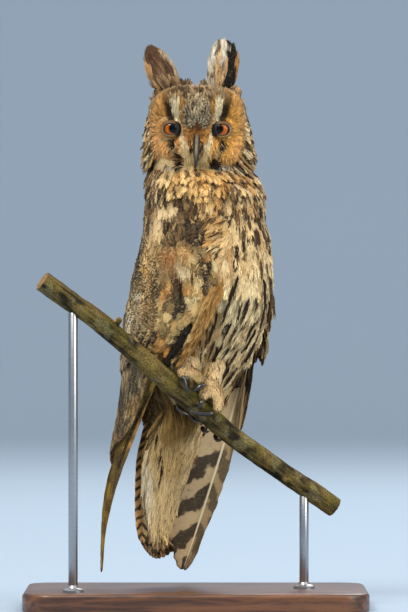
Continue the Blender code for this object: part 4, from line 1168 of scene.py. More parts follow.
streakSizes = {
    # from the feet up: heights, spacing, half width and half length of the dark marks on breast and belly
    "belly": {"low": 110, "high": 262, "spacing": 9, "wide": 0.8, "long": 10},
    "throat": {"low": 262, "high": 331, "spacing": 8.4, "wide": 1.7, "long": 7},
}


def frontBetween(low, high):
    # The skin of breast and belly between two heights.
    z = skinPoints[:, 2]
    return (isTorso | isNeck) & (skinChest > -0.3) & (z < high) & (z >= low)


def streaked(name, tips):
    # How dark each feather is from the marks around it.
    sizes = streakSizes[name]
    centres, outs = scatter(skin, frontBetween(sizes["low"], sizes["high"]), sizes["spacing"], 31)
    ways = frontFlow(centres, outs)
    rng = np.random.default_rng(120)
    grow = rng.uniform(0.6, 1.3, len(centres))
    best = np.full(len(tips), 9)
    for centre, way, size in zip(centres, ways, grow):
        away = tips - centre
        along = away @ way
        across = np.sqrt(np.maximum((away * away).sum(axis=1) - along * along, 0))
        best = np.minimum(best, np.hypot(across / (sizes["wide"] * size), along / (sizes["long"] * size)))
    px, py = seen(tips)
    bare = blob(px, py, (222, 258, 10, 28)) * 0.6 + blob(px, py, (205, 190, 16, 14)) * 0.3
    return smooth(1.3, 0.7, best + (noise(tips, 2, 21) - 0.5) * 0.9 + bare)


def coatBody():
    # The overlapping feathers of neck, breast and back.
    clearOfFace = (skinPoints[:, 2] < 332) | (skinPoints[:, 1] > -16)
    bodyCoat = {
        # where, spacing, length, breadth, lift and mottling of neck, breast and back
        "neck_plumage": (isNeck & clearOfFace, 2, 12.5, 4.8, 0.1, 0.25),
        "breast_plumage": (isTorso & (skinChest > -0.1), 2.14, 16, 5.4, 0.09, 0.08),
        "back_plumage": (isTorso & (skinChest <= -0.1), 2.4, 17, 6, 0.09, 0.7),
    }
    for number, (name, (here, spacing, length, breadth, lift, speck)) in enumerate(bodyCoat.items()):
        rng = np.random.default_rng(103 + number)
        places, outs = scatter(skin, here, spacing, 13 + number)
        count = len(places)
        low = smooth(240, 200, places[:, 2])
        side = smooth(-20, -34, places[:, 0]) * smooth(300, 320, places[:, 2])
        hanging = smooth(316, 330, places[:, 2]) * smooth(-10, 4, places[:, 1])
        outs = mixed(outs, unit(outs * (1, 1, 0.1)), hanging)
        ways = frontFlow(places, outs)
        size = length * (1 + 0.3 * low)
        tips = places + ways * size[:, None] * 0.75
        throat = smooth(258, 266, tips[:, 2])
        front = smooth(-0.3, 0.1, outs @ chestFront)
        dark = (streaked("throat", tips) * throat + streaked("belly", tips) * (1 - throat) * 0.3) * front
        dark = np.maximum(dark, (rng.random(count) < (0.12 if number == 0 else 0) + 0.25 * side) * 0.85)
        px, py = seen(tips)
        band = 1 - smooth(4, 7, nearLine(px, py, bandSizes["pale"][0])[0])
        dark = dark * (1 - band)
        lift = lift + 0.05 * smooth(310, 328, places[:, 2]) * (number == 0) * (1 - hanging)
        colour = bodyColour(tips, outs)
        colour = mixed(colour, "#b98244", dark * 0.5)
        lay(name, "soft", featherFinish, "neck" if number == 0 else "torso", rng, places, outs, ways, size, breadth,
            lift, colour, vary=0.08, speck=(speck + 0.35 * side) * (1 - band), streak=0.14 + 0.16 * throat,
            dark=dark, streakTone=mixed("#241910", "#54402b", rng.random(count)))


def coatStreaks():
    # Dark feathers with side barbs, standing just proud of the rest: broad and close above, long and thin below.
    streakCoat = {
        "throat_streaks": {"low": 262, "high": 329, "spacing": 7.4, "length": 12.5, "breadth": 4, "proud": 1.6},
        "belly_streaks": {"low": 110, "high": 266, "spacing": 8.6, "length": 27, "breadth": 2.1, "proud": 2.4},
    }
    for number, (name, sizes) in enumerate(streakCoat.items()):
        rng = np.random.default_rng(110 + number)
        here = frontBetween(sizes["low"], sizes["high"])
        places, outs = scatter(skin, here, sizes["spacing"], 16 + number)
        px, py = seen(places)
        bare = blob(px, py, (222, 258, 12, 32)) * 0.8 + blob(px, py, (205, 192, 18, 16)) * 0.55
        keep = (rng.random(len(places)) > bare) & ((px > 182) | (py < 196)) & (outs @ forward > 0.2)
        places, outs = places[keep], outs[keep]
        count = len(places)
        colour = mixed("#2c1f15", "#6b4e30", rng.random(count) ** (1 if number == 0 else 1.6))
        lay(name, "streak", featherFinish, "torso", rng, places + outs * sizes["proud"], outs, frontFlow(places, outs),
            sizes["length"] * rng.uniform(0.55, 1.2, count), sizes["breadth"], 0.07, colour, stray=0.06, root=1)
    # thin brown marks that run down towards the wrist, from and to, in picture places
    marks = np.array([
        (214, 217, 199, 231), (227, 219, 210, 228), (226, 231, 203, 243), (224, 244, 203, 256), (217, 225, 205, 236),
        (222, 237, 207, 247), (228, 225, 214, 233), (218, 249, 206, 260), (212, 224, 200, 238), (229, 237, 218, 246),
    ], float)
    marks = np.repeat(marks, 2, axis=0) + rng.normal(0, 0.6, (20, 4))
    x, z = fromPicture(marks.reshape(-1, 2, 2))
    places, outs = onFront(x[:, 0], z[:, 0])
    ways = flowOn(outs, unit(stacked(x[:, 1] - x[:, 0], 0, z[:, 1] - z[:, 0])))
    size = np.hypot(x[:, 1] - x[:, 0], z[:, 1] - z[:, 0])
    colour = mixed("#3f2a19", "#7d5230", rng.random(len(x)))
    lay("breast_marks", "streak", featherFinish, "torso", rng, places + outs * 1.2, outs, ways, size, 0.9, 0.05, colour,
        stray=0.05, root=1)


def coatLegs():
    # Short plumage of legs and toes.
    legCoat = {"leg_plumage": (isLeg, 1.4, 7, 2.6, 0.16), "foot_plumage": (isFoot, 0.72, 3.4, 0.9, 0.2)}
    for number, (name, (here, spacing, length, breadth, lift)) in enumerate(legCoat.items()):
        rng = np.random.default_rng(117 + number)
        places, outs = scatter(skin, here, spacing, 17 + number)
        colour = tint("#efca92") * (0.88 + 0.2 * noise(places, 4, 20))[:, None]
        px, py = seen(places)
        sole = np.maximum(smooth(-0.05, -0.6, outs[:, 2]), blob(px, py, (197, 379, 6, 6.5)))
        colour = mixed(colour, "#a08a3c", sole * (0.5 if number else 0))
        ways = flowOn(outs, np.array([0, -0.5, -1]))
        key, slot = ("tuft", "foot") if number else ("fine", "leg")
        lay(name, key, faceFinish, slot, rng, places, outs, ways, length, breadth, lift, colour,
            vary=0.1, root=0.72, stray=0.16)


def finishSkin():
    # The skin carries the coat's own markings, a little darker, as down does.
    colour = mixed(bodyColour(skinPoints, skinNormals), headColour(skinPoints), isHead)
    limb = isLeg | isFoot
    keepValues(skin.data, "tone", mixed(colour, "#c79c68", limb) * np.where(limb, 0.85, 0.66)[:, None])
    material, tree, shader = newFinish("skin", 0.85, 0.1, 0.2)
    down = clouded(tree, objectPlace(tree), 900, 3)
    colour = scaled(tree, attribute(tree, "tone"), ranged(tree, down, 0.3, 0.7, 0.75, 1.15))
    surfaced(tree, shader, colour, down, 0.6, 0.0006)
    dress(skin, material, skinSizes["flesh"])


for stage in (finishSkin, coatFace, coatCrown, coatRuff, coatBristles, coatBody, coatStreaks, coatLegs):
    stage()


# Eyes and lids

eyeSizes = {
    "bulge": 0.7, "iris": 7.6, "behind": 9.9,
    # half widths and half height of the lids, at the eyeball and at the feathers
    "lidInner": (3.8, 7.4), "lidOuter": (5.6, 8.6), "lidTall": (4.1, 7), "lidProud": 0.7,
}
gazes = {"left": np.array([-2.5, -10.7, 0.5]), "right": np.array([1.9, -10.8, 0.5])}


def makeIris():
    material, tree, shader = newFinish("iris", 0.5, 0, 0, (0.45, 0.02))
    across, along = barbPlace(tree)
    turn = figure(tree, "MULTIPLY", across, 2 * math.pi)
    reach = figure(tree, "MULTIPLY", along, 10)
    spread = put(tree, "ShaderNodeCombineXYZ", {
        "X": figure(tree, "MULTIPLY", figure(tree, "COSINE", turn), 9),
        "Y": figure(tree, "MULTIPLY", figure(tree, "SINE", turn), 9),
        "Z": figure(tree, "MULTIPLY", reach, 0.7),
    })
    rays = clouded(tree, spread.outputs[0], 2.4, 4)
    colour = blended(tree, "#7a3205", "#d2700f", ranged(tree, rays, 0.3, 0.72))
    # from the pupil outwards
    colour = blended(tree, "#6a2a08", colour, ranged(tree, reach, 3.4, 4.8))
    colour = blended(tree, colour, "#2b1004", ranged(tree, reach, 5.9, 7.3))
    colour = blended(tree, "#030202", colour, ranged(tree, reach, 3.5, 3.95))
    colour = blended(tree, colour, "#150b06", ranged(tree, reach, 7.2, 7.6))
    surfaced(tree, shader, colour, rays, 0.25)
    return material


def makeEyes():
    # Each eyeball is turned round its gaze. Its map holds the turn and a tenth of the reach from the gaze.
    irisFinish = makeIris()
    columns, rows = 64, 40
    radius, behind = skinSizes["eyeRadius"], eyeSizes["behind"]
    for side, centre in eyeCentres.items():
        gaze = unit(gazes[side])
        across = unit(np.cross(gaze, upward))
        over = np.cross(across, gaze)
        points, reaches = [centre + gaze * (radius + eyeSizes["bulge"])], [0]
        for r in range(1, rows):
            polar = math.pi * (r / rows) ** 1.25
            flat, front = radius * math.sin(polar), polar < math.pi / 2
            lift = eyeSizes["bulge"] * max(0, 1 - (flat / eyeSizes["iris"]) ** 2) if front else 0
            for c in range(columns):
                turn = 2 * math.pi * c / columns
                way = across * math.cos(turn) + over * math.sin(turn)
                points.append(centre + way * flat + gaze * (radius * math.cos(polar) + lift))
            reaches.append(flat if front else behind)
        points.append(centre - gaze * radius)
        turns = [((c + 0.5) / columns, c / columns, (c + 1) / columns) for c in range(columns)]
        faces, places = [], []
        for c, (middle, u, v) in enumerate(turns):
            faces.append((0, 1 + c, 1 + (c + 1) % columns))
            places += [(middle, 0), (u, reaches[1]), (v, reaches[1])]
        faces += gridFaces(rows - 1, columns, 1, flipped=True)
        for near, far in zip(reaches[1:-1], reaches[2:]):
            for _, u, v in turns:
                places += [(u, near), (u, far), (v, far), (v, near)]
        last = 1 + (rows - 2) * columns
        for c, (middle, u, v) in enumerate(turns):
            faces.append((last + (c + 1) % columns, last + c, len(points) - 1))
            places += [(v, behind), (u, behind), (middle, behind)]
        made = makeObject(f"eyeball_{side}", points, faces)
        keepMap(made.data, "barb", np.array(places) * (1, 0.1))
        dress(made, irisFinish, [f"eye_{side}"])


def makeLids():
    # A soft rolled rim round each eye, dark on the eyeball and pale where the feathers start.
    material, tree, shader = newFinish("lid", 0.5, 0, 0.4)
    surfaced(tree, shader, attribute(tree, "tone"), clouded(tree, objectPlace(tree), 3000, 2), 0.35)
    columns, rows = 72, 12
    for side, centre in eyeCentres.items():
        points, tones = [], []
        for r in range(rows):
            t = r / (rows - 1)
            for c in range(columns):
                turn = 2 * math.pi * c / columns
                level, rise = math.cos(turn), math.sin(turn)
                inner = -level if side == "left" else level
                wide = between(t, eyeSizes["lidInner" if inner > 0 else "lidOuter"])
                tall = between(t, eyeSizes["lidTall"])
                x = wide * math.copysign(abs(level) ** 0.92, level)
                z = tall * math.copysign(abs(rise) ** 0.92, rise) - 0.2
                roll = eyeSizes["lidProud"] * math.sin(math.pi * min(1, 0.12 + t * 0.95)) ** 0.7
                reach = skinSizes["eyeRadius"] + 0.1 + roll
                flat = min(math.hypot(x, z), reach * 0.98)
                x, z = x * flat / math.hypot(x, z), z * flat / math.hypot(x, z)
                points.append(centre + np.array([x, -math.sqrt(reach**2 - flat**2), z]))
                rim = mixed("#8f774e", "#8a6330", smooth(0.22, 0.45, t))
                rim = mixed(rim, "#4a3018", smooth(0.1, 0.6, rise) * 0.75)
                tones.append(mixed("#0b0705", rim, smooth(0.14, 0.24, t) * smooth(0.75, 0.2, inner)))
        made = makeObject(f"lids_{side}", points, gridFaces(rows, columns))
        keepValues(made.data, "tone", tones)
        walled(made, 0.3, -1)
        dress(made, material)


makeEyes()
makeLids()
print("eyes and lids")


# Bill

billSizes = {
    "upper": [
        (0.8, -33, 355.5, 3, 4.2), (0.6, -39.5, 351.8, 2.8, 4.8), (0.3, -44.6, 345.8, 2.2, 4.4),
        (0, -46.8, 339.3, 1.6, 3.3), (-0.3, -46.6, 334.2, 1, 1.8), (-0.5, -45.6, 331.2, 0.4, 0.5),
    ],
    "lower": [
        (0.6, -33, 349, 2.8, 3), (0.4, -38, 343.5, 2.4, 2.8), (0.1, -40.8, 339, 1.8, 2.2),
        (-0.1, -42, 335.5, 0.7, 0.8),
    ],
    "nostril": (2.6, -43, 351, 1.5),
}


def smoothLine(points, count):
    points = np.asarray(points, float)
    keys = np.concatenate([[0], np.cumsum(np.linalg.norm(np.diff(points[:, :3], axis=0), axis=1))])
    return readTable(np.column_stack([keys, points]), np.linspace(0, keys[-1], count))


def sweep(line, radii, columns):
    # A closed tube along a line.
    line = np.asarray(line, float)
    tangents = unit(np.gradient(line, axis=0))
    side = np.cross(tangents[0], upward)
    points = []
    for centre, tangent, (wide, tall) in zip(line, tangents, radii):
        side = unit(side - tangent * (side @ tangent))
        other = np.cross(tangent, side)
        for c in range(columns):
            turn = 2 * math.pi * c / columns
            points.append(centre + side * wide * math.cos(turn) + other * tall * math.sin(turn))
    faces = gridFaces(len(line), columns)
    last = len(points) - columns
    points += [line[0], line[-1]]
    for c in range(columns):
        d = (c + 1) % columns
        faces += [(len(points) - 2, d, c), (len(points) - 1, last + c, last + d)]
    return np.array(points), faces


def makeBill():
    material, tree, shader = newFinish("bill", 0.45, 0, 0.4, (0.15, 0.3))
    grain = clouded(tree, objectPlace(tree, (1, 1, 0.25)), 700, 4)
    surfaced(tree, shader, scaled(tree, attribute(tree, "tone"), ranged(tree, grain, 0.3, 0.75, 0.7, 1.25)), grain, 0.3)
    for part, rows in (("upper", 44), ("lower", 26)):
        table = smoothLine(billSizes[part], rows)
        points, faces = sweep(table[:, :3], table[:, 3:5], 28)
        if part == "upper":
            x, y, z, reach = billSizes["nostril"]
            for side in (-1, 1):
                away = points - np.array([0.6 + side * x, y, z])
                near = np.linalg.norm(away * (1, 1, 1.3), axis=1)
                points[:, 0] -= side * 1.3 * (1 - smooth(0.4, 1, near / reach))
        made = makeObject(f"bill_{part}_horn", points, faces)
        # the pale stripe along the upper bill's ridge is a painted highlight on the dark horn; the dark sides are the
        # horn's own colour
        aside = np.abs(points[:, 0] - np.interp(points[:, 2], (331, 355), (-0.5, 0.8)))
        ridge = smooth(1.8, 0.6, aside) * smooth(335, 344, points[:, 2]) * (part == "upper")
        keepValues(made.data, "tone", mixed("#1a140f", "#6d604c", ridge))
        dress(made, material, [f"bill_{part}"])


makeBill()
print("bill")


# Wings: tables of height, then x and y of the leading edge, the widest line and the trailing edge

wingTables = {
    "right": [
        (20, -70, 12, -80, 28, -74, 44), (60, -65, 8, -79, 24, -71, 42), (90, -57, 4, -74.5, 20, -65, 40),
        (120, -46, -2, -67, 16, -57, 40), (150, -33, -12, -60.5, 10, -50, 42), (180, -20, -29, -58, 1, -45, 42),
        (210, 3, -47, -55.6, -4, -40, 44), (240, 16.5, -57, -51.8, -8, -34, 44), (262, 14, -58, -47.5, -9, -30, 43),
        (282, 9, -57, -42.5, -9, -26, 41), (312, -2, -50, -39.5, -10, -22, 36),
    ],
    "left": [
        (20, 12, 38, 4, 52, -20, 61), (60, 23, 36, 14, 51, -16, 61), (90, 31.5, 33, 22, 50, -13, 61),
        (120, 38.5, 30, 29, 50, -10, 60), (150, 42.5, 26, 33.5, 50, -8, 58), (180, 48, 22, 38, 49, -8, 55),
        (210, 55, 18, 43, 46, -8, 52), (240, 59.5, 14, 47, 42, -6, 50), (275, 57.5, 10, 46, 38, -2, 48),
        (312, 47, 10, 38, 34, 4, 43),
    ],
}


def onWing(side, share, height, depth=0):
    # Places on a folded wing's outer face, with the way to its trailing edge and the way out.
    share, height, depth = np.broadcast_arrays(*(np.atleast_1d(np.asarray(v, float)) for v in (share, height, depth)))
    rows = readTable(wingTables[side], height)
    a, b, c = rows[:, 0:2], rows[:, 2:4], rows[:, 4:6]
    first, second = b - a, c - b
    m1 = (first * (a + b) / 2).sum(axis=1)
    m2 = (second * (b + c) / 2).sum(axis=1)
    cross = first[:, 0] * second[:, 1] - first[:, 1] * second[:, 0]
    centre = stacked(m1 * second[:, 1] - m2 * first[:, 1], first[:, 0] * m2 - second[:, 0] * m1)
    centre = centre / cross[:, None]
    radius = np.linalg.norm(a - centre, axis=1)
    angles = [np.arctan2(corner[:, 1] - centre[:, 1], corner[:, 0] - centre[:, 0]) for corner in (a, b, c)]
    turn = (angles[1] - angles[0] + math.pi) % (2 * math.pi) - math.pi
    turn += (angles[2] - angles[1] + math.pi) % (2 * math.pi) - math.pi
    angle = angles[0] + turn * share
    out = stacked(np.cos(angle), np.sin(angle), 0)
    along = stacked(-np.sin(angle), np.cos(angle), 0) * np.sign(turn)[:, None]
    point = np.column_stack([centre, height]) + out * (radius + depth)[:, None]
    return point, along, out


wingMarks = {
    # x, y, half width, half height, tint and strength of each soft mark, in picture places
    "right": [
        (176, 262, 16, 18, "#b98b56", 0.6),
        (137, 285, 9, 48, "#463424", 0.4),
        (151, 240, 7, 9, "#d9b878", 0.4),
        (157, 288, 7, 13, "#33261b", 0.75),
        (172, 262, 7, 8, "#a8642c", 0.55),
        (184, 273, 8, 6, "#dcc192", 0.8),
        (195, 262, 6, 5, "#cfae76", 0.75),
        (205, 275, 7, 17, "#1d150e", 0.85),
        (219, 257, 6, 6, "#b5702f", 0.9),
        (217, 268, 6, 5, "#e8cf9a", 0.8),
        (215, 279, 5, 6, "#927548", 0.7),
        (197, 286, 6, 6, "#e2c48a", 0.8),
        (192, 304, 8, 7, "#e4c98f", 0.85),
        (139, 314, 9, 18, "#cbb083", 0.5),
        (139, 301, 3.4, 7, "#f0ddb4", 1),
        (147, 278, 4, 9, "#dcb877", 0.85),
        (133.5, 322, 3.2, 8, "#eedab2", 1),
        (177, 299, 8, 14, "#1b120c", 0.9),
        (166, 294, 3.4, 8, "#c07f3c", 0.85),
        (152, 322, 6, 18, "#4b3826", 0.6),
        (160, 318, 4, 12, "#b08f58", 0.5),
        (176, 325, 12, 11, "#b9985c", 0.7),
        (204, 305, 7, 10, "#b3874c", 0.6),
        (169, 352, 5, 8, "#b5782f", 0.7),
        (146, 400, 5, 40, "#c08d4c", 0.6),
    ],
    "left": [],
}


def wingColour(side, points):
    # The marbling, then the marks that the photo shows.
    px, py = seen(points)
    base = painted(marbled(points), px, py, wingMarks[side])
    if side == "left":
        return mixed(base, "#c8a870", smooth(30, 14, points[:, 1]) * smooth(96, 130, points[:, 2]) * 0.9)
    away, _ = nearLine(px, py, [(188, 328), (180, 344), (172, 364)])
    return mixed(banded(base, points, px, py), "#171009", 1 - smooth(3.4, 6, away))


wingSizes = {
    "heights": (150, 314),
    "skinDepths": (-3.6, -5),
    "rootDepth": -3.4,
    # root heights, spacing down and across, length and breadth of the small and middle coverts
    "rows": {
        "marginal": {"low": 285, "high": 313, "pitch": 2.8, "gap": 2.6, "length": 9.5, "breadth": 5},
        "lesser": {"low": 238, "high": 286, "pitch": 3.2, "gap": 3, "length": 11.5, "breadth": 6.2},
        "median": {"low": 200, "high": 239, "pitch": 3.9, "gap": 3.5, "length": 15, "breadth": 6.6},
    },
}


def wingEnds(height):
    # How far a wing's plate reaches, as shares of its arc.
    low = np.interp(height, (150, 178, 198, 220, 244, 268, 291, 314), (0.2, 0.12, 0.06, 0.01, 0, 0.02, 0.07, 0.2))
    high = np.interp(height, (150, 178, 291, 314), (0.94, 1, 0.97, 0.85))
    return low, high


def makeWingSkin(side, material):
    # The closed plate under the coverts.
    heights = np.linspace(wingSizes["heights"][0], wingSizes["heights"][1], 40)
    outer, inner = [], []
    for height in heights:
        low, high = wingEnds(height)
        shares = np.linspace(low, high, 30)
        thin = np.where((shares == low) | (shares == high), 0.3, 0)
        outer.append(onWing(side, shares, height, wingSizes["skinDepths"][0] - thin)[0])
        inner.append(onWing(side, shares, height, wingSizes["skinDepths"][1] + thin)[0])
    rows, columns = np.array(outer).shape[:2]
    points = np.concatenate([np.array(outer).reshape(-1, 3), np.array(inner).reshape(-1, 3)])
    shift = rows * columns
    faces = []
    for a, b, c, d in gridFaces(rows, columns, closed=False):
        faces += [(a, b, c, d), (a + shift, d + shift, c + shift, b + shift)]
    border = list(range(columns)) + [r * columns + columns - 1 for r in range(1, rows)]
    border += [(rows - 1) * columns + c for c in range(columns - 2, -1, -1)]
    border += [r * columns for r in range(rows - 2, 0, -1)]
    for a, b in zip(border, border[1:] + border[:1]):
        faces.append((b, a, a + shift, b + shift))
    made = makeObject(f"wing_{side}_skin", points, faces)
    turnedOut(made, rows, columns, onWing(side, 0.5, heights[rows // 2])[2][0])
    keepValues(made.data, "tone", wingColour(side, points) * 0.5)
    dress(made, material, [f"wing_{side}"])


def coatEdge(rng):
    # Plain ochre strands along the wing's edge over the belly, with a pale line and a black corner beside them. Their
    # ochre is the flank's own orange-buff, its darker tones painted shade where wing meets belly.
    strands = [
        # line in picture places, half width, count, length, breadth, two tones
        # the ochre rows are orange-buff flank with painted shade of the crease between wing and belly
        ([(217, 288), (206, 314), (194, 338), (187, 350)], 2.9, 300, 14, 2, "#74461a", "#d1a05a"),
        ([(220, 288), (209, 316), (197, 340)], 1.6, 50, 13, 1.6, "#6d4a26", "#cfa05c"),
        ([(213, 285), (201, 312), (188, 338), (180, 350)], 1.2, 110, 12, 1.6, "#b88c4a", "#d9b070"),
        ([(190, 326), (181, 342), (170, 358)], 3.4, 210, 12, 2.6, "#120b07", "#33241a"),
    ]
    tries = 40
    gathered = []
    for line, half, count, length, breadth, first, second in strands:
        spots, step = alongLine(rng, line, count, half * 0.55, np.array([1, 0.4]))
        x, z = fromPicture(spots)
        bodyY = np.array([skinHit(a, b) for a, b in zip(x, z)])
        shares = np.tile(np.linspace(0, 1, tries), count)
        wing = onWing("right", shares, np.repeat(z, tries), -1)[0].reshape(count, tries, 3)
        gap = np.abs(wing[:, :, 0] - x[:, None])
        wingY = np.where(gap.min(axis=1) < 2, wing[np.arange(count), gap.argmin(axis=1), 1], nowhere)
        y = np.minimum(bodyY - 1.6, wingY)
        ways = stacked(step[:, 0], -1, -step[:, 1])
        row = np.ones((count, 1))
        tone = mixed(first, second, rng.random(count))
        columns = [stacked(x, y, z), unit(ways), row * length, row * breadth, tone]
        gathered.append(np.hstack(columns)[y < 60])
    table = np.concatenate(gathered)
    facing = np.tile(unit(forward + np.array([0.25, 0, 0])), (len(table), 1))
    lay("wing_edge_strands", "soft", wingFinish, "wing", rng, table[:, 0:3], facing, flowOn(facing, table[:, 3:6]),
        table[:, 6], table[:, 7], 0.02, table[:, 8:11], stray=0.04, speck=0, vary=0.08)


def coatWing(side):
    # Rows of small and middle coverts over a wing's plate.
    rng = np.random.default_rng(200 + len(side))
    for name, row in wingSizes["rows"].items():
        shares, heights = [], []
        for k, height in enumerate(np.arange(row["low"], row["high"], row["pitch"])):
            low, high = wingEnds(height)
            arc = np.linalg.norm(np.diff(onWing(side, np.linspace(low, high, 30), height)[0], axis=0), axis=1).sum()
            count = int(arc / row["gap"])
            places = (np.arange(count) + 0.5 * (k % 2) + rng.uniform(-0.3, 0.3, count)) / count
            shares += list(low + (high - low) * places)
            heights += list(height + rng.uniform(-1.2, 1.2, count))
        shares, heights = np.array(shares), np.array(heights)
        count = len(shares)
        places, _, outs = onWing(side, shares, heights, wingSizes["rootDepth"])
        ways = flowOn(outs, unit(onWing(side, shares, heights - 10, wingSizes["rootDepth"])[0] - places))
        colour = wingColour(side, places + ways * row["length"] * 0.7)
        colour = mixed(colour, "#d8b273", (rng.random(count) < 0.06) * 0.6)
        speck = rng.uniform(0, 0.45, count) + 0.65 * smooth(170, 148, seen(places)[0])
        behind = smooth(0, 24, places[:, 1] + 40 * (side == "right"))
        lay(f"wing_{side}_{name}_coverts", "covert" if name == "median" else "soft", wingFinish, "wing", rng, places,
            outs, ways, row["length"], row["breadth"], 0.11, colour, vary=0.16, root=0.72, speck=speck, streak=0.12,
            dark=(rng.random(count) < 0.35) * 0.85 * behind)
    if side == "right":
        coatEdge(rng)


# Long feathers: wing and tail vanes with a shaft, two webs and bars

def flightFinish():
    material, tree, shader = newFinish("flightFeather", 0.6, 0.05, 0.2)
    side, along = barbPlace(tree)
    across = figure(tree, "SUBTRACT", side, 0.5)
    apart = figure(tree, "ABSOLUTE", across)
    where = objectPlace(tree)
    wobble = figure(tree, "MULTIPLY", clouded(tree, where, 130, 1), 0.9)
    # bars slant back from the shaft
    lengthways = figure(tree, "MULTIPLY", along, attribute(tree, "barCount", "Fac"))
    phase = figure(tree, "ADD", figure(tree, "SUBTRACT", lengthways, figure(tree, "MULTIPLY", apart, 1.1)), wobble)
    phase = figure(tree, "ADD", phase, attribute(tree, "barStart", "Fac"))
    wave = figure(tree, "ABSOLUTE", figure(tree, "SUBTRACT", figure(tree, "FRACT", phase), 0.5))
    inBar = ranged(tree, figure(tree, "SUBTRACT", wave, attribute(tree, "barWide", "Fac")), -0.07, 0.07, 1, 0)
    bar = figure(tree, "MULTIPLY", inBar, attribute(tree, "dark", "Fac"))
    colour = blended(tree, attribute(tree, "tone"), attribute(tree, "tipTone"), ranged(tree, side, 0.42, 0.62))
    colour = blended(tree, colour, attribute(tree, "streakTone"), bar)
    colour = vermiculated(tree, colour, where, 1.2)
    colour = blended(tree, colour, attribute(tree, "shaftTone"), ranged(tree, apart, 0.018, 0.03, 1, 0))
    barbs = put(tree, "ShaderNodeCombineXYZ", {
        "X": figure(tree, "SUBTRACT", figure(tree, "MULTIPLY", along, 90), figure(tree, "MULTIPLY", apart, 16)),
        "Y": figure(tree, "MULTIPLY", across, 1.5),
    })
    surfaced(tree, shader, colour, clouded(tree, barbs.outputs[0], 1.6, 1), 0.4, 0.0003)
    return material


longFinish = flightFinish()


def makeVanes(name, feathers, replaced=(), rows=26, columns=11):
    # Joins feathers into one closed mesh. Each has a line, the way across, the way out, half widths and its tones.
    points, faces, barbs, patches = [], [], [], []
    keys = ("tone", "tipTone", "streakTone", "shaftTone", "dark", "speck", "barCount", "barStart", "barWide")
    marks = {key: [] for key in keys}
    rng = np.random.default_rng(len(name) * 7)
    along, webs = np.linspace(0, 1, rows), np.linspace(-1, 1, columns)
    for number, feather in enumerate(feathers):
        table = smoothLine(np.hstack([feather["line"], feather["side"], feather["out"]]), rows)
        line, side, out = table[:, :3], unit(table[:, 3:6]), unit(table[:, 6:9])
        profile = np.interp(along, *feather["profile"]) * feather["half"]
        first = len(points)
        ragged = rng.normal(0, 0.035, (rows, 2))
        for r in range(rows):
            for c in range(columns):
                u = c / (columns - 1) * 2 - 1
                slip = ragged[r, int(u > 0)] if abs(u) == 1 else 0
                camber = -0.8 * u * u + (0.25 if c == columns // 2 else 0)
                web = feather.get("webs", (1, 1))[int(u > 0)]
                points.append(line[r] + side[r] * profile[r] * u * web * (1 + slip) + out[r] * camber)
        wide = 0.8 / len(feathers)
        for face in gridFaces(rows, columns, first, closed=False):
            faces.append(face)
            for corner in face:
                r, c = divmod(corner - first, columns)
                barbs.append((c / (columns - 1), r / (rows - 1)))
                patches.append((0.02 + 0.9 * number / len(feathers) + wide * barbs[-1][0], 0.02 + 0.95 * barbs[-1][1]))
        colours = feather["paint"](np.array(points[first:])) if "paint" in feather else None
        for key in marks:
            values = np.array([feather[key]] * (rows * columns))
            if colours is not None and key in ("tone", "tipTone"):
                values = mixed(values, colours, feather["painted"])
            if key == "dark" and "fade" in feather:
                values = values * np.repeat(smooth(*feather["fade"], along), columns)
                values = values * np.tile(np.where(webs < 0, 0.75, 1), rows)
            marks[key] += list(values)
    made = makeObject(name, points, faces)
    for key, values in marks.items():
        keepValues(made.data, key, values)
    keepMap(made.data, "barb", barbs)
    keepMap(made.data, "OFBake", patches)
    turnedOut(made, rows, columns, unit(np.array(feathers[0]["out"][1][:3])))
    walled(made, 0.28, 0)
    dress(made, longFinish, replaced)
    print(name + ":", len(feathers), "feathers,", triangles(made), "triangles")


longProfile = ((0, 0.12, 0.4, 0.75, 0.92, 0.98, 1), (0.35, 0.62, 0.95, 1, 0.8, 0.5, 0.12))


def wingFeather(side, root, tip, half, depths, tilt, tones):
    # A feather lying along the wing, its leading edge over its neighbour.
    steps = np.linspace(0, 1, 6)
    shares = root[0] + (tip[0] - root[0]) * steps
    heights = root[1] + (tip[1] - root[1]) * steps
    lift = np.array([0, 0.5, 0.75, 0.9, 1, 1])
    point, along, out = onWing(side, shares, heights, between(lift, depths))
    return {"line": point, "side": along - out * tilt, "out": out + along * tilt, "half": half,
            "profile": longProfile, **tones}


def longTones(rng, tone, tipTone, streakTone, shaftTone, dark, speck, barCount):
    vary = rng.uniform(0.88, 1.12)
    return {
        "tone": tint(tone) * vary, "tipTone": tint(tipTone) * vary, "streakTone": tint(streakTone),
        "shaftTone": tint(shaftTone), "dark": dark, "speck": speck, "barCount": barCount,
        "barStart": rng.uniform(0, 1), "barWide": 0.24,
    }


flightSizes = {
    "greater": {"count": 15, "roots": (0.1, 0.95), "tips": (0.13, 0.92), "rootHeights": (238, 232),
                "tipHeights": (189, 172), "half": 5.6, "depths": (-4, -1.5), "tilt": 0.16},
    "secondary": {"count": 15, "roots": (0.2, 0.94), "tips": (0.27, 0.88), "rootHeights": (202, 196),
                  "tipHeights": (130, 106), "half": 6.4, "depths": (-5, -2.6), "tilt": 0.16},
    "edge": {"count": 5, "roots": (0.015, 0.14), "tips": (0.05, 0.2), "rootHeights": (246, 238),
             "tipHeights": (198, 174), "half": 4.6, "depths": (-3.6, -1.2), "tilt": 0.12},
}
primarySizes = {
    "right": {"roots": (0.12, 0.48), "tips": (0.42, 0.72)},
    "left": {"roots": (-0.01, 0.52), "tips": (0.66, 0.88)},
    "drops": (26, 25, 27, 31, 37, 43, 50, 58, 66),
    "top": 188, "depths": (-9.8, -7), "half": 6, "tilt": 0.2,
}


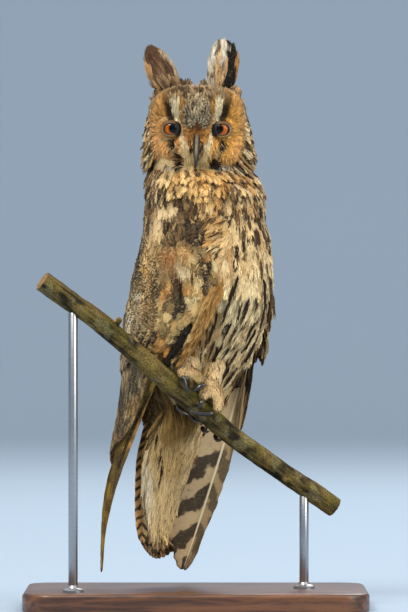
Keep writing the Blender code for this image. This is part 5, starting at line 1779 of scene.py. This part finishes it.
broadSizes = {
    "line": [(33, 34, 166), (29, 35, 150), (22.2, 36, 124.7), (11.4, 37, 90), (1, 37.5, 58),
             (-10, 38, 26.5)],
    "side": (-0.93, -0.34, -0.12), "out": (0.34, -0.93, 0), "half": 29, "webs": (0.36, 1),
    "profile": ((0, 0.2, 0.45, 0.64, 0.74, 0.83, 0.92, 0.97, 1), (0.8, 1, 1, 1, 0.88, 0.66, 0.4, 0.22, 0.06)),
}


def nearPrimaryColour(points):
    # Olive and brown lengthwise, with an orange strip between two black ones at the top.
    px, py = seen(points)
    grain = noise(points * (1, 1, 0.12), 1.6, 34)
    colour = mixed("#806228", "#c0983a", smooth(0.3, 0.7, grain))
    right = px - np.interp(py, (470, 560), (110, 102))
    colour = mixed(colour, "#5f4a30", smooth(0, 5, right) * smooth(440, 470, py) * 0.8)
    strips = [([(154, 396), (144, 414), (134, 434), (128, 446)], 3, "#d9994c"),
              ([(137, 443), (130, 457), (123, 475)], 2.8, "#16100a"),
              ([(148, 396), (137, 420), (126, 446), (118, 470)], 1.5, "#1b130c")]
    for line, half, tone in strips:
        away, _ = nearLine(px, py, line)
        colour = mixed(colour, tone, (1 - smooth(half * 0.7, half * 1.5, away)) * 0.95)
    return colour


def makeFlight(side):
    # A wing's secondaries, greater coverts and edge feathers, then its primaries.
    near = side == "right"
    rng = np.random.default_rng(300 + len(side))
    feathers = []
    rowTones = {
        "secondary": ("#a08762", "#c4a474", "#33261a", "#7a5c3a", 0.55, 0.35, (6.5, 8)),
        "greater": ("#a18560", "#cdab78", "#2c2017", "#5c442c", 0.5, 0.35, (4.5, 6)),
        "edge": ("#a9703a", "#c99c62", "#241810", "#5c442c", 0.9, 0.3, None),
    }
    for name in ("secondary", "greater", "edge") if near else ("secondary", "greater"):
        row = flightSizes[name]
        for k in range(row["count"]):
            t = k / (row["count"] - 1)
            root = [between(t, row["roots"]), between(t, row["rootHeights"])]
            tip = [between(t, row["tips"]), between(t, row["tipHeights"]) + rng.uniform(-2.5, 2.5)]
            *look, bars = rowTones[name]
            tones = longTones(rng, *look, rng.uniform(*bars) if bars else 4)
            tones.update({"paint": lambda spots: wingColour(side, spots), "painted": 0.7})
            feathers.append(wingFeather(side, root, tip, row["half"], row["depths"], row["tilt"], tones))
    makeVanes(f"wing_{side}_flight", feathers)
    feathers = []
    sizes = primarySizes
    for k, low in enumerate(sizes["drops"]):
        t = k / (len(sizes["drops"]) - 1)
        root = [between(t, sizes[side]["roots"]), sizes["top"]]
        tip = [between(t, sizes[side]["tips"]), low]
        if near:
            tones = longTones(rng, "#9a7c3c", "#b08a48", "#3e2e1a", "#8a6d38", 0.5, 0.2, rng.uniform(8.5, 10))
            tones.update({"paint": nearPrimaryColour, "painted": 0.9})
        else:
            tones = longTones(rng, "#c9b088", "#e0c8a0", "#7c6850", "#e6d5ae", 0.75, 0.15, rng.uniform(4, 5))
        feathers.append(wingFeather(side, root, tip, sizes["half"], sizes["depths"], sizes["tilt"], tones))
    if not near:
        feathers.append(broadPrimary(rng))
    makeVanes(f"wing_{side}_primaries", feathers, [f"primaries_{side}"], 40, 13)


def broadPrimary(rng):
    # The far wing's outermost primary, whose wide pale inner web shows beside the tail.
    feather = longTones(rng, "#b09366", "#cfb184", "#2c2016", "#e3d3aa", 0.93, 0.1, 5)
    feather.update(broadSizes)
    feather.update({"barWide": 0.29, "barStart": 0.2, "fade": (0.29, 0.36), "line": np.array(broadSizes["line"])})
    for way in ("side", "out"):
        feather[way] = np.tile(unit(np.array(broadSizes[way])), (len(feather["line"]), 1))
    return feather


# Tail and undertail coverts hang along these lines: height, then x and y

tailSizes = {
    "line": [(34, -27, 34), (70, -28, 34), (120, -27.5, 33), (168, -18, 30)],
    "feathers": 12, "step": 0.95, "half": 6.9, "spread": 25, "top": 150,
    "coverts": [(44, -28, 21.5), (90, -25, 18.5), (120, -18, 15), (152, -8, 8)],
}


def makeTail():
    rng = np.random.default_rng(320)
    sizes = tailSizes
    middle = (sizes["feathers"] - 1) / 2
    steps = np.linspace(0, 1, 6)
    feathers = []
    for k in range(sizes["feathers"]):
        place = k - middle
        layer = middle - abs(place) * 2 + (0.5 if place > 0 else 0)
        sideways = place / (middle + 0.5) * sizes["spread"] * (0.86 if place < 0 else 0.6)
        heights = sizes["top"] + (34.5 + 0.42 * place**2 - sizes["top"]) * steps
        across = sideways * 0.86 + sideways * 0.14 * steps
        line = np.column_stack([readTable(sizes["line"], heights), heights]) + chestLeft * across[:, None]
        feathers.append({
            "line": line - chestFront * layer * sizes["step"], "half": sizes["half"], "profile": longProfile,
            "side": np.tile(chestLeft, (6, 1)), "out": np.tile(-chestFront, (6, 1)),
            **longTones(rng, "#c2925a", "#d0b07c", "#22170f", "#8d6c42", 0.92, 0.2, rng.uniform(13, 14)),
        })
    makeVanes("tail_feathers", feathers, ["tail"], 30, 11)


def coatUndertail():
    # Long loose strands that hang before the tail.
    rng = np.random.default_rng(330)
    columns = 32
    heights = np.linspace(66, 158, 24)
    halves = np.interp(heights, (62, 78, 96, 114, 132, 158), (7, 11.5, 16, 20, 21, 15))
    points = []
    for height, half in zip(heights, halves):
        middle = np.array([*readTable(tailSizes["coverts"], height)[0], height])
        for c in range(columns):
            turn = 2 * math.pi * c / columns
            points.append(middle + chestLeft * half * math.cos(turn) - chestFront * 2.6 * math.sin(turn))
    made = makeObject("undertail_skin", points, closedFaces(len(heights), columns))
    keepValues(made.data, "tone", np.tile(tint("#8b6a3c") * 0.6, (len(points), 1)))
    places, outs = scatter(made, np.ones(len(points)), 1.8, 33)
    keep = np.abs(outs[:, 2]) < 0.8
    places, outs = places[keep], outs[keep]
    dress(made, bpy.data.materials["skin"], ["undertail_coverts"])
    count = len(places)
    z = places[:, 2]
    below, above = readTable(tailSizes["coverts"], z - 12), readTable(tailSizes["coverts"], z)
    ways = stacked(*(below - above).T, -12)
    sideways = (places - np.column_stack([above, z])) @ chestLeft
    ways = flowOn(outs, unit(ways - chestLeft * (sideways * 0.12)[:, None]))
    px, py = seen(places)
    colour = tint("#cfb07c") * (0.86 + 0.28 * noise(places, 6, 40))[:, None]
    colour = painted(colour, px, py, [
        (170, 397, 30, 24, "#73501a", 0.9), (148, 490, 5, 50, "#ddcfae", 0.7),
        (172, 430, 20, 30, "#c89a54", 0.5), (160, 520, 14, 30, "#c0a472", 0.6),
    ])
    slot = "undertail_coverts"
    lay("undertail_plumage", "soft", featherFinish, slot, rng, places, outs, ways, 25, 5.2, 0.05, colour,
        root=0.93, vary=0.06, stray=0.04, speck=0.03, streak=0.07, dark=(rng.random(count) < 0.06) * 0.8)
    near = (nearLine(px, py, [(157, 428), (164, 466)])[0] < 1.3) & (outs @ forward > 0.3)
    lay("undertail_streaks", "streak", featherFinish, slot, rng, places[near] + forward * 1.6, outs[near], ways[near],
        22, 1.5, 0.03, tint("#46301a"), stray=0.02, speck=0)


# Ear tufts: height, then the left and right edge of each as seen from the front

tuftSizes = {
    "right": [(391, -31, -7), (400.2, -37.5, -10.5), (407.4, -39.4, -14.6), (414.4, -39.6, -19.6),
              (421.1, -38.2, -26.4), (427, -35.2, -31.6)],
    "left": [(391, 8, 29), (403.2, 7.8, 32.6), (414.4, 9, 33.6), (422.5, 11.6, 30.6), (429, 14.6, 24.7),
             (431, 16.5, 21)],
    "thick": 5, "middle": -8,
}


def tuftTones(side, t, low, rng):
    # The right tuft is brown with a pale inner edge, the left one pale with a black outer half.
    pick = rng.random(len(t))
    if side == "right":
        tone = mixed("#5a3e2a", "#7d5c3e", (pick < 0.12) & (low < 0.5))
        tone = mixed(tone, "#c89660", (t < -0.58) & (low < 0.38 + 0.16 * pick))
        tone = mixed(tone, "#bda684", t > 0.8)
        return mixed(tone, "#9b7c58", (low < 0.16) & (pick > 0.4))
    tone = mixed(mixed("#e2d6c0", "#c2ab88", rng.random(len(t))), "#77624a", pick < 0.2)
    tone = mixed(tone, "#cba473", (low < 0.42) & (t > -0.55) & (pick > 0.2))
    tone = mixed(tone, "#1a120c", t > 0.22 + 0.3 * low)
    return mixed(tone, "#b98449", (t > 0.92) & (low < 0.5))


def coatTuft(side):
    # Feathers fill each tuft's outline in layers, then looser wisps.
    rows = tuftSizes[side]
    rng = np.random.default_rng(340 + len(side))
    bottom, top = rows[0][0], rows[-1][0]
    layers = (("plumage", "soft", 760, 2.9, 0.06, [f"ear_tuft_{side}"]), ("wisps", "loose", 420, 3.2, 0.12, ()))
    for name, key, count, breadth, stray, replaced in layers:
        t = rng.uniform(-1, 1, count)
        low = rng.uniform(0, 0.74, count)
        heights = bottom + (top - bottom) * low
        edges, later = readTable(rows, heights), readTable(rows, heights + 7)
        x = edges.mean(axis=1) + t * (edges[:, 1] - edges[:, 0]) * 0.37
        nextX = later.mean(axis=1) + t * (later[:, 1] - later[:, 0]) * 0.37
        layer = rng.uniform(-1, 1, count) * np.sqrt(1 - t * t)
        y = tuftSizes["middle"] + tuftSizes["thick"] * (1 - 0.9 * low) * layer
        lean = (y - tuftSizes["middle"]) * 5 / (top - heights + 4)
        ways = unit(stacked(nextX - x, 0.4 - lean, 7))
        facing = unit(stacked(t * 0.5, np.where(layer > 0, 1, -1), 0))
        size = np.minimum((top - 2 - heights) * (1 - 0.25 * t * t) + 1, rng.uniform(9, 17, count))
        lay(f"ear_tuft_{side}_{name}", key, featherFinish, "ear_tuft", rng, stacked(x, y, heights), facing,
            ways, size, breadth, 0, tuftTones(side, t, low, rng), axis=headAxis, root=0.9, speck=0.1,
            stray=stray, replaced=replaced)


for side in ("right", "left"):
    makeWingSkin(side, bpy.data.materials["skin"])
for side in ("right", "left"):
    coatWing(side)
    makeFlight(side)
makeTail()
coatUndertail()
coatTuft("right")
coatTuft("left")


# Claws

def makeClaws():
    material, tree, shader = newFinish("claw", 0.25, 0, 0.55, (0.5, 0.12))
    grain = clouded(tree, objectPlace(tree), 500, 4)
    surfaced(tree, shader, blended(tree, "#0d0a08", "#332d27", ranged(tree, grain, 0.4, 0.75)), grain, 0.2)
    for name in sorted(nodes):
        if name.startswith("claw_"):
            points, faces = nodePoints(name)
            made = makeObject(name + "_horn", pushedOut(points, faces, skinSizes["overlap"]), faces)
            rounder = made.modifiers.new("Rounder", "SUBSURF")
            rounder.levels = rounder.render_levels = 2
            applied(made)
            dress(made, material, [name])


makeClaws()


# The cut branch

def makeBranch():
    bark = remeshed("branch_bark", *nodePoints("perch_branch"), 0.85, 3)
    places, normals = readPoints(bark.data), readPoints(bark.data, "normal")
    way = unit(np.array([0.79, 0.24, -0.62]))
    along = places @ way
    rest = places - along[:, None] * way
    stretched = rest + along[:, None] * way * 0.16
    ridges = noise(stretched, 1.5, 50) * 0.6 + noise(stretched, 3.4, 51) * 0.4
    plates, lumps = noise(places, 5, 52), noise(places, 13, 53)
    height = (ridges - 0.6) * 1.25 + (plates - 0.5) * 0.45 + (lumps - 0.55) * 0.7
    cut = np.abs(normals @ way) > 0.75
    height = np.where(cut, -0.1, np.clip(height, -1.1, 0.25))
    movePoints(bark.data, places + normals * height[:, None])
    moss = smooth(0.52, 0.72, noise(places, 9, 54)) * smooth(-0.5, 0.6, normals[:, 2])
    colour = mixed("#1d160b", "#74602f", smooth(-0.6, 0.2, height))
    colour = mixed(colour, "#645a16", moss * 0.6)
    colour = mixed(colour, "#8a7f58", smooth(0.6, 0.75, noise(places, 6, 55)) * 0.35)
    rings = 0.5 + 0.5 * np.sin(np.linalg.norm(rest - rest.mean(axis=0), axis=1) * 2)
    colour = mixed(colour, mixed("#b58f5e", "#7d5b36", rings), cut)
    keepValues(bark.data, "tone", colour)
    material, tree, shader = newFinish("bark", 0.85, 0, 0.25)
    fine = clouded(tree, objectPlace(tree), 900, 4)
    colour = scaled(tree, attribute(tree, "tone"), ranged(tree, fine, 0.3, 0.7, 0.45, 1.3))
    surfaced(tree, shader, colour, fine, 0.8, 0.0005)
    dress(bark, material, ["perch_branch"])
    print("branch:", len(places), "points")


makeBranch()


# The display stand

standSizes = {
    "size": (260, 170, 14), "corner": 22, "rod": 3.5, "rods": {"left": -92, "right": 82},
    # how far the base's rim lies in, and at what height, from below and from above
    "foot": ((1.2, 0), (0.3, 0.35), (0, 1.2)),
    "edge": ((0, -3), (0.2, -1.9), (0.9, -0.9), (1.7, -0.3), (2.8, 0)),
    # the collar's profile: beyond the rod and above the base
    "collar": ((0.1, 0.05), (4.5, 0.05), (4.5, 1.6), (3.6, 2.6), (1.2, 3.2), (0.1, 5)),
}


def standWood():
    material, tree, shader = newFinish("standWood", 0.38, 0, 0.45, (0.35, 0.25))
    grain = objectPlace(tree, (6, 60, 60))
    rings = clouded(tree, grain, 3, 6, Distortion=0.6)
    pores = clouded(tree, grain, 22, 3)
    colour = blended(tree, "#3a2114", "#7a4c2c", ranged(tree, rings, 0.3, 0.7))
    colour = blended(tree, colour, "#1f110a", ranged(tree, pores, 0.62, 0.75))
    surfaced(tree, shader, colour, pores, 0.15, 0.0003)
    return material


def standSteel():
    material, tree, shader = newFinish("standSteel", 0.3, 0, 0.5)
    shader.inputs["Metallic"].default_value = 1
    lines = clouded(tree, objectPlace(tree, (1, 1, 40)), 120, 3)
    tree.links.new(blended(tree, "#8d8d8f", "#c4c4c6", lines), shader.inputs["Base Color"])
    tree.links.new(ranged(tree, lines, 0, 1, 0.24, 0.42), shader.inputs["Roughness"])
    return material


def standPiece(name, points, faces, material, slot, replaced=()):
    made = makeObject(name, points, faces)
    made.data.set_sharp_from_angle(angle=math.radians(40))
    dress(made, material, replaced)


def circle(middle, radius, z, columns):
    turns = [2 * math.pi * c / columns for c in range(columns)]
    return [(middle[0] + radius * math.cos(turn), middle[1] + radius * math.sin(turn), z) for turn in turns]


def lathe(profile, middle, columns=40):
    # A closed turned shape round an upright line.
    points = [point for radius, z in profile for point in circle(middle, radius, z, columns)]
    return points, closedFaces(len(profile), columns)


def makeStand():
    width, depth, height = standSizes["size"]
    corner, steps = standSizes["corner"], 16
    rings = list(standSizes["foot"]) + [(inset, height + z) for inset, z in standSizes["edge"]]
    points = []
    for inset, z in rings:
        radius = corner - inset
        for quarter, sx, sy in ((0, 1, 1), (1, -1, 1), (2, -1, -1), (3, 1, -1)):
            x, y = sx * (width / 2 - corner), sy * (depth / 2 - corner)
            for k in range(steps + 1):
                turn = math.radians(90 * quarter + 90 * k / steps)
                points.append((x + radius * math.cos(turn), y + radius * math.sin(turn), z))
    faces = closedFaces(len(rings), 4 * (steps + 1))
    standPiece("stand_base_wood", points, faces, standWood(), "stand_base", ["stand_base"])
    steel = standSteel()
    radius = standSizes["rod"]
    for side, x in standSizes["rods"].items():
        low, high = (np.array(corner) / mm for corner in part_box(f"stand_rod_{side}"))
        middle = (x, (low[1] + high[1]) / 2)
        rod = [(radius * 0.9, low[2]), (radius, low[2] + 0.5), (radius, high[2] - 1), (radius * 0.7, high[2] + 0.6)]
        standPiece(f"stand_rod_{side}_steel", *lathe(rod, middle), steel, "stand_rod", [f"stand_rod_{side}"])
        collar = [(radius + out, height + z) for out, z in standSizes["collar"]]
        standPiece(f"stand_collar_{side}", *lathe(collar, middle), steel, "stand_rod")


makeStand()
print("claws, branch and stand")


# Floor, light and camera

studioSizes = {
    "floor": "#a6b8ca", "reach": 9000, "flat": 0.62, "rise": 5200, "drop": -0.05,
    "world": (1, 0.985, 0.96), "worldStrength": 0.9,
    "lens": 309.6, "aim": (0, 0, 0.25),
    # place, size, power and colour of each light
    "lights": {
        "keyLight": ((-1.3, -2.2, 3), 1.6, 98, (1, 0.97, 0.92)),
        "fillLight": ((2.4, -1.8, 1.6), 2.2, 58, (1, 0.98, 0.95)),
        "rimLight": ((0.8, 2.6, 2.6), 1.8, 55, (1, 0.98, 0.95)),
    },
}


def makeStudio():
    # One seamless pale bowl whose rim is far behind every view.
    sizes = studioSizes
    material, tree, shader = newFinish("studioFloor", 0.9, 0, 0.2)
    tone = tint(sizes["floor"])
    cloud = clouded(tree, objectPlace(tree), 1.2, 3)
    tree.links.new(blended(tree, tone * 0.96, tone, cloud), shader.inputs["Base Color"])
    flat, bowl = sizes["reach"] * sizes["flat"], sizes["reach"] * (1 - sizes["flat"])
    profile = [(0.5, 0)] + [(flat * k / 12, 0) for k in range(1, 13)]
    for turn in np.linspace(0, math.pi / 2, 17)[1:]:
        profile.append((flat + bowl * math.sin(turn), sizes["rise"] * (1 - math.cos(turn))))
    columns = 96
    points = [(0, 0, sizes["drop"])]
    for radius, z in profile:
        points += circle((0, 0), radius, z + sizes["drop"], columns)
    faces = [(0, 1 + c, 1 + (c + 1) % columns) for c in range(columns)]
    floor = makeObject("studio_floor", points, faces + gridFaces(len(profile), columns, 1, flipped=True))
    floor.data.materials.append(material)

    world = bpy.data.worlds.new("studio")
    bpy.context.scene.world = world
    world.use_nodes = True
    background = world.node_tree.nodes["Background"]
    background.inputs["Color"].default_value = (*sizes["world"], 1)
    background.inputs["Strength"].default_value = sizes["worldStrength"]
    bpy.context.scene.view_settings.view_transform = "Standard"

    for name, (place, size, power, colour) in sizes["lights"].items():
        light = bpy.data.lights.new(name, "AREA")
        light.shape = "DISK"
        light.size = size
        light.energy = power
        light.color = colour
        made = linked(name, light)
        made.location = place
        aim = Vector(sizes["aim"]) - Vector(place)
        made.rotation_euler = aim.to_track_quat("-Z", "Y").to_euler()
        made.visible_camera = False


def makeCamera():
    view = bpy.data.cameras.new("view")
    view.sensor_width = 36
    view.lens = studioSizes["lens"]
    made = linked("view", view)
    made.location = (pictureSizes["viewX"] * mm, -pictureSizes["range"] * mm, pictureSizes["viewZ"] * mm)
    made.rotation_euler = (math.pi / 2, 0, 0)
    bpy.context.scene.camera = made


makeStudio()
makeCamera()
for group in list(shapeStore.children):
    for shape in list(group.objects):
        bpy.data.objects.remove(shape, do_unlink=True)
    bpy.data.collections.remove(group)
bpy.data.collections.remove(shapeStore)
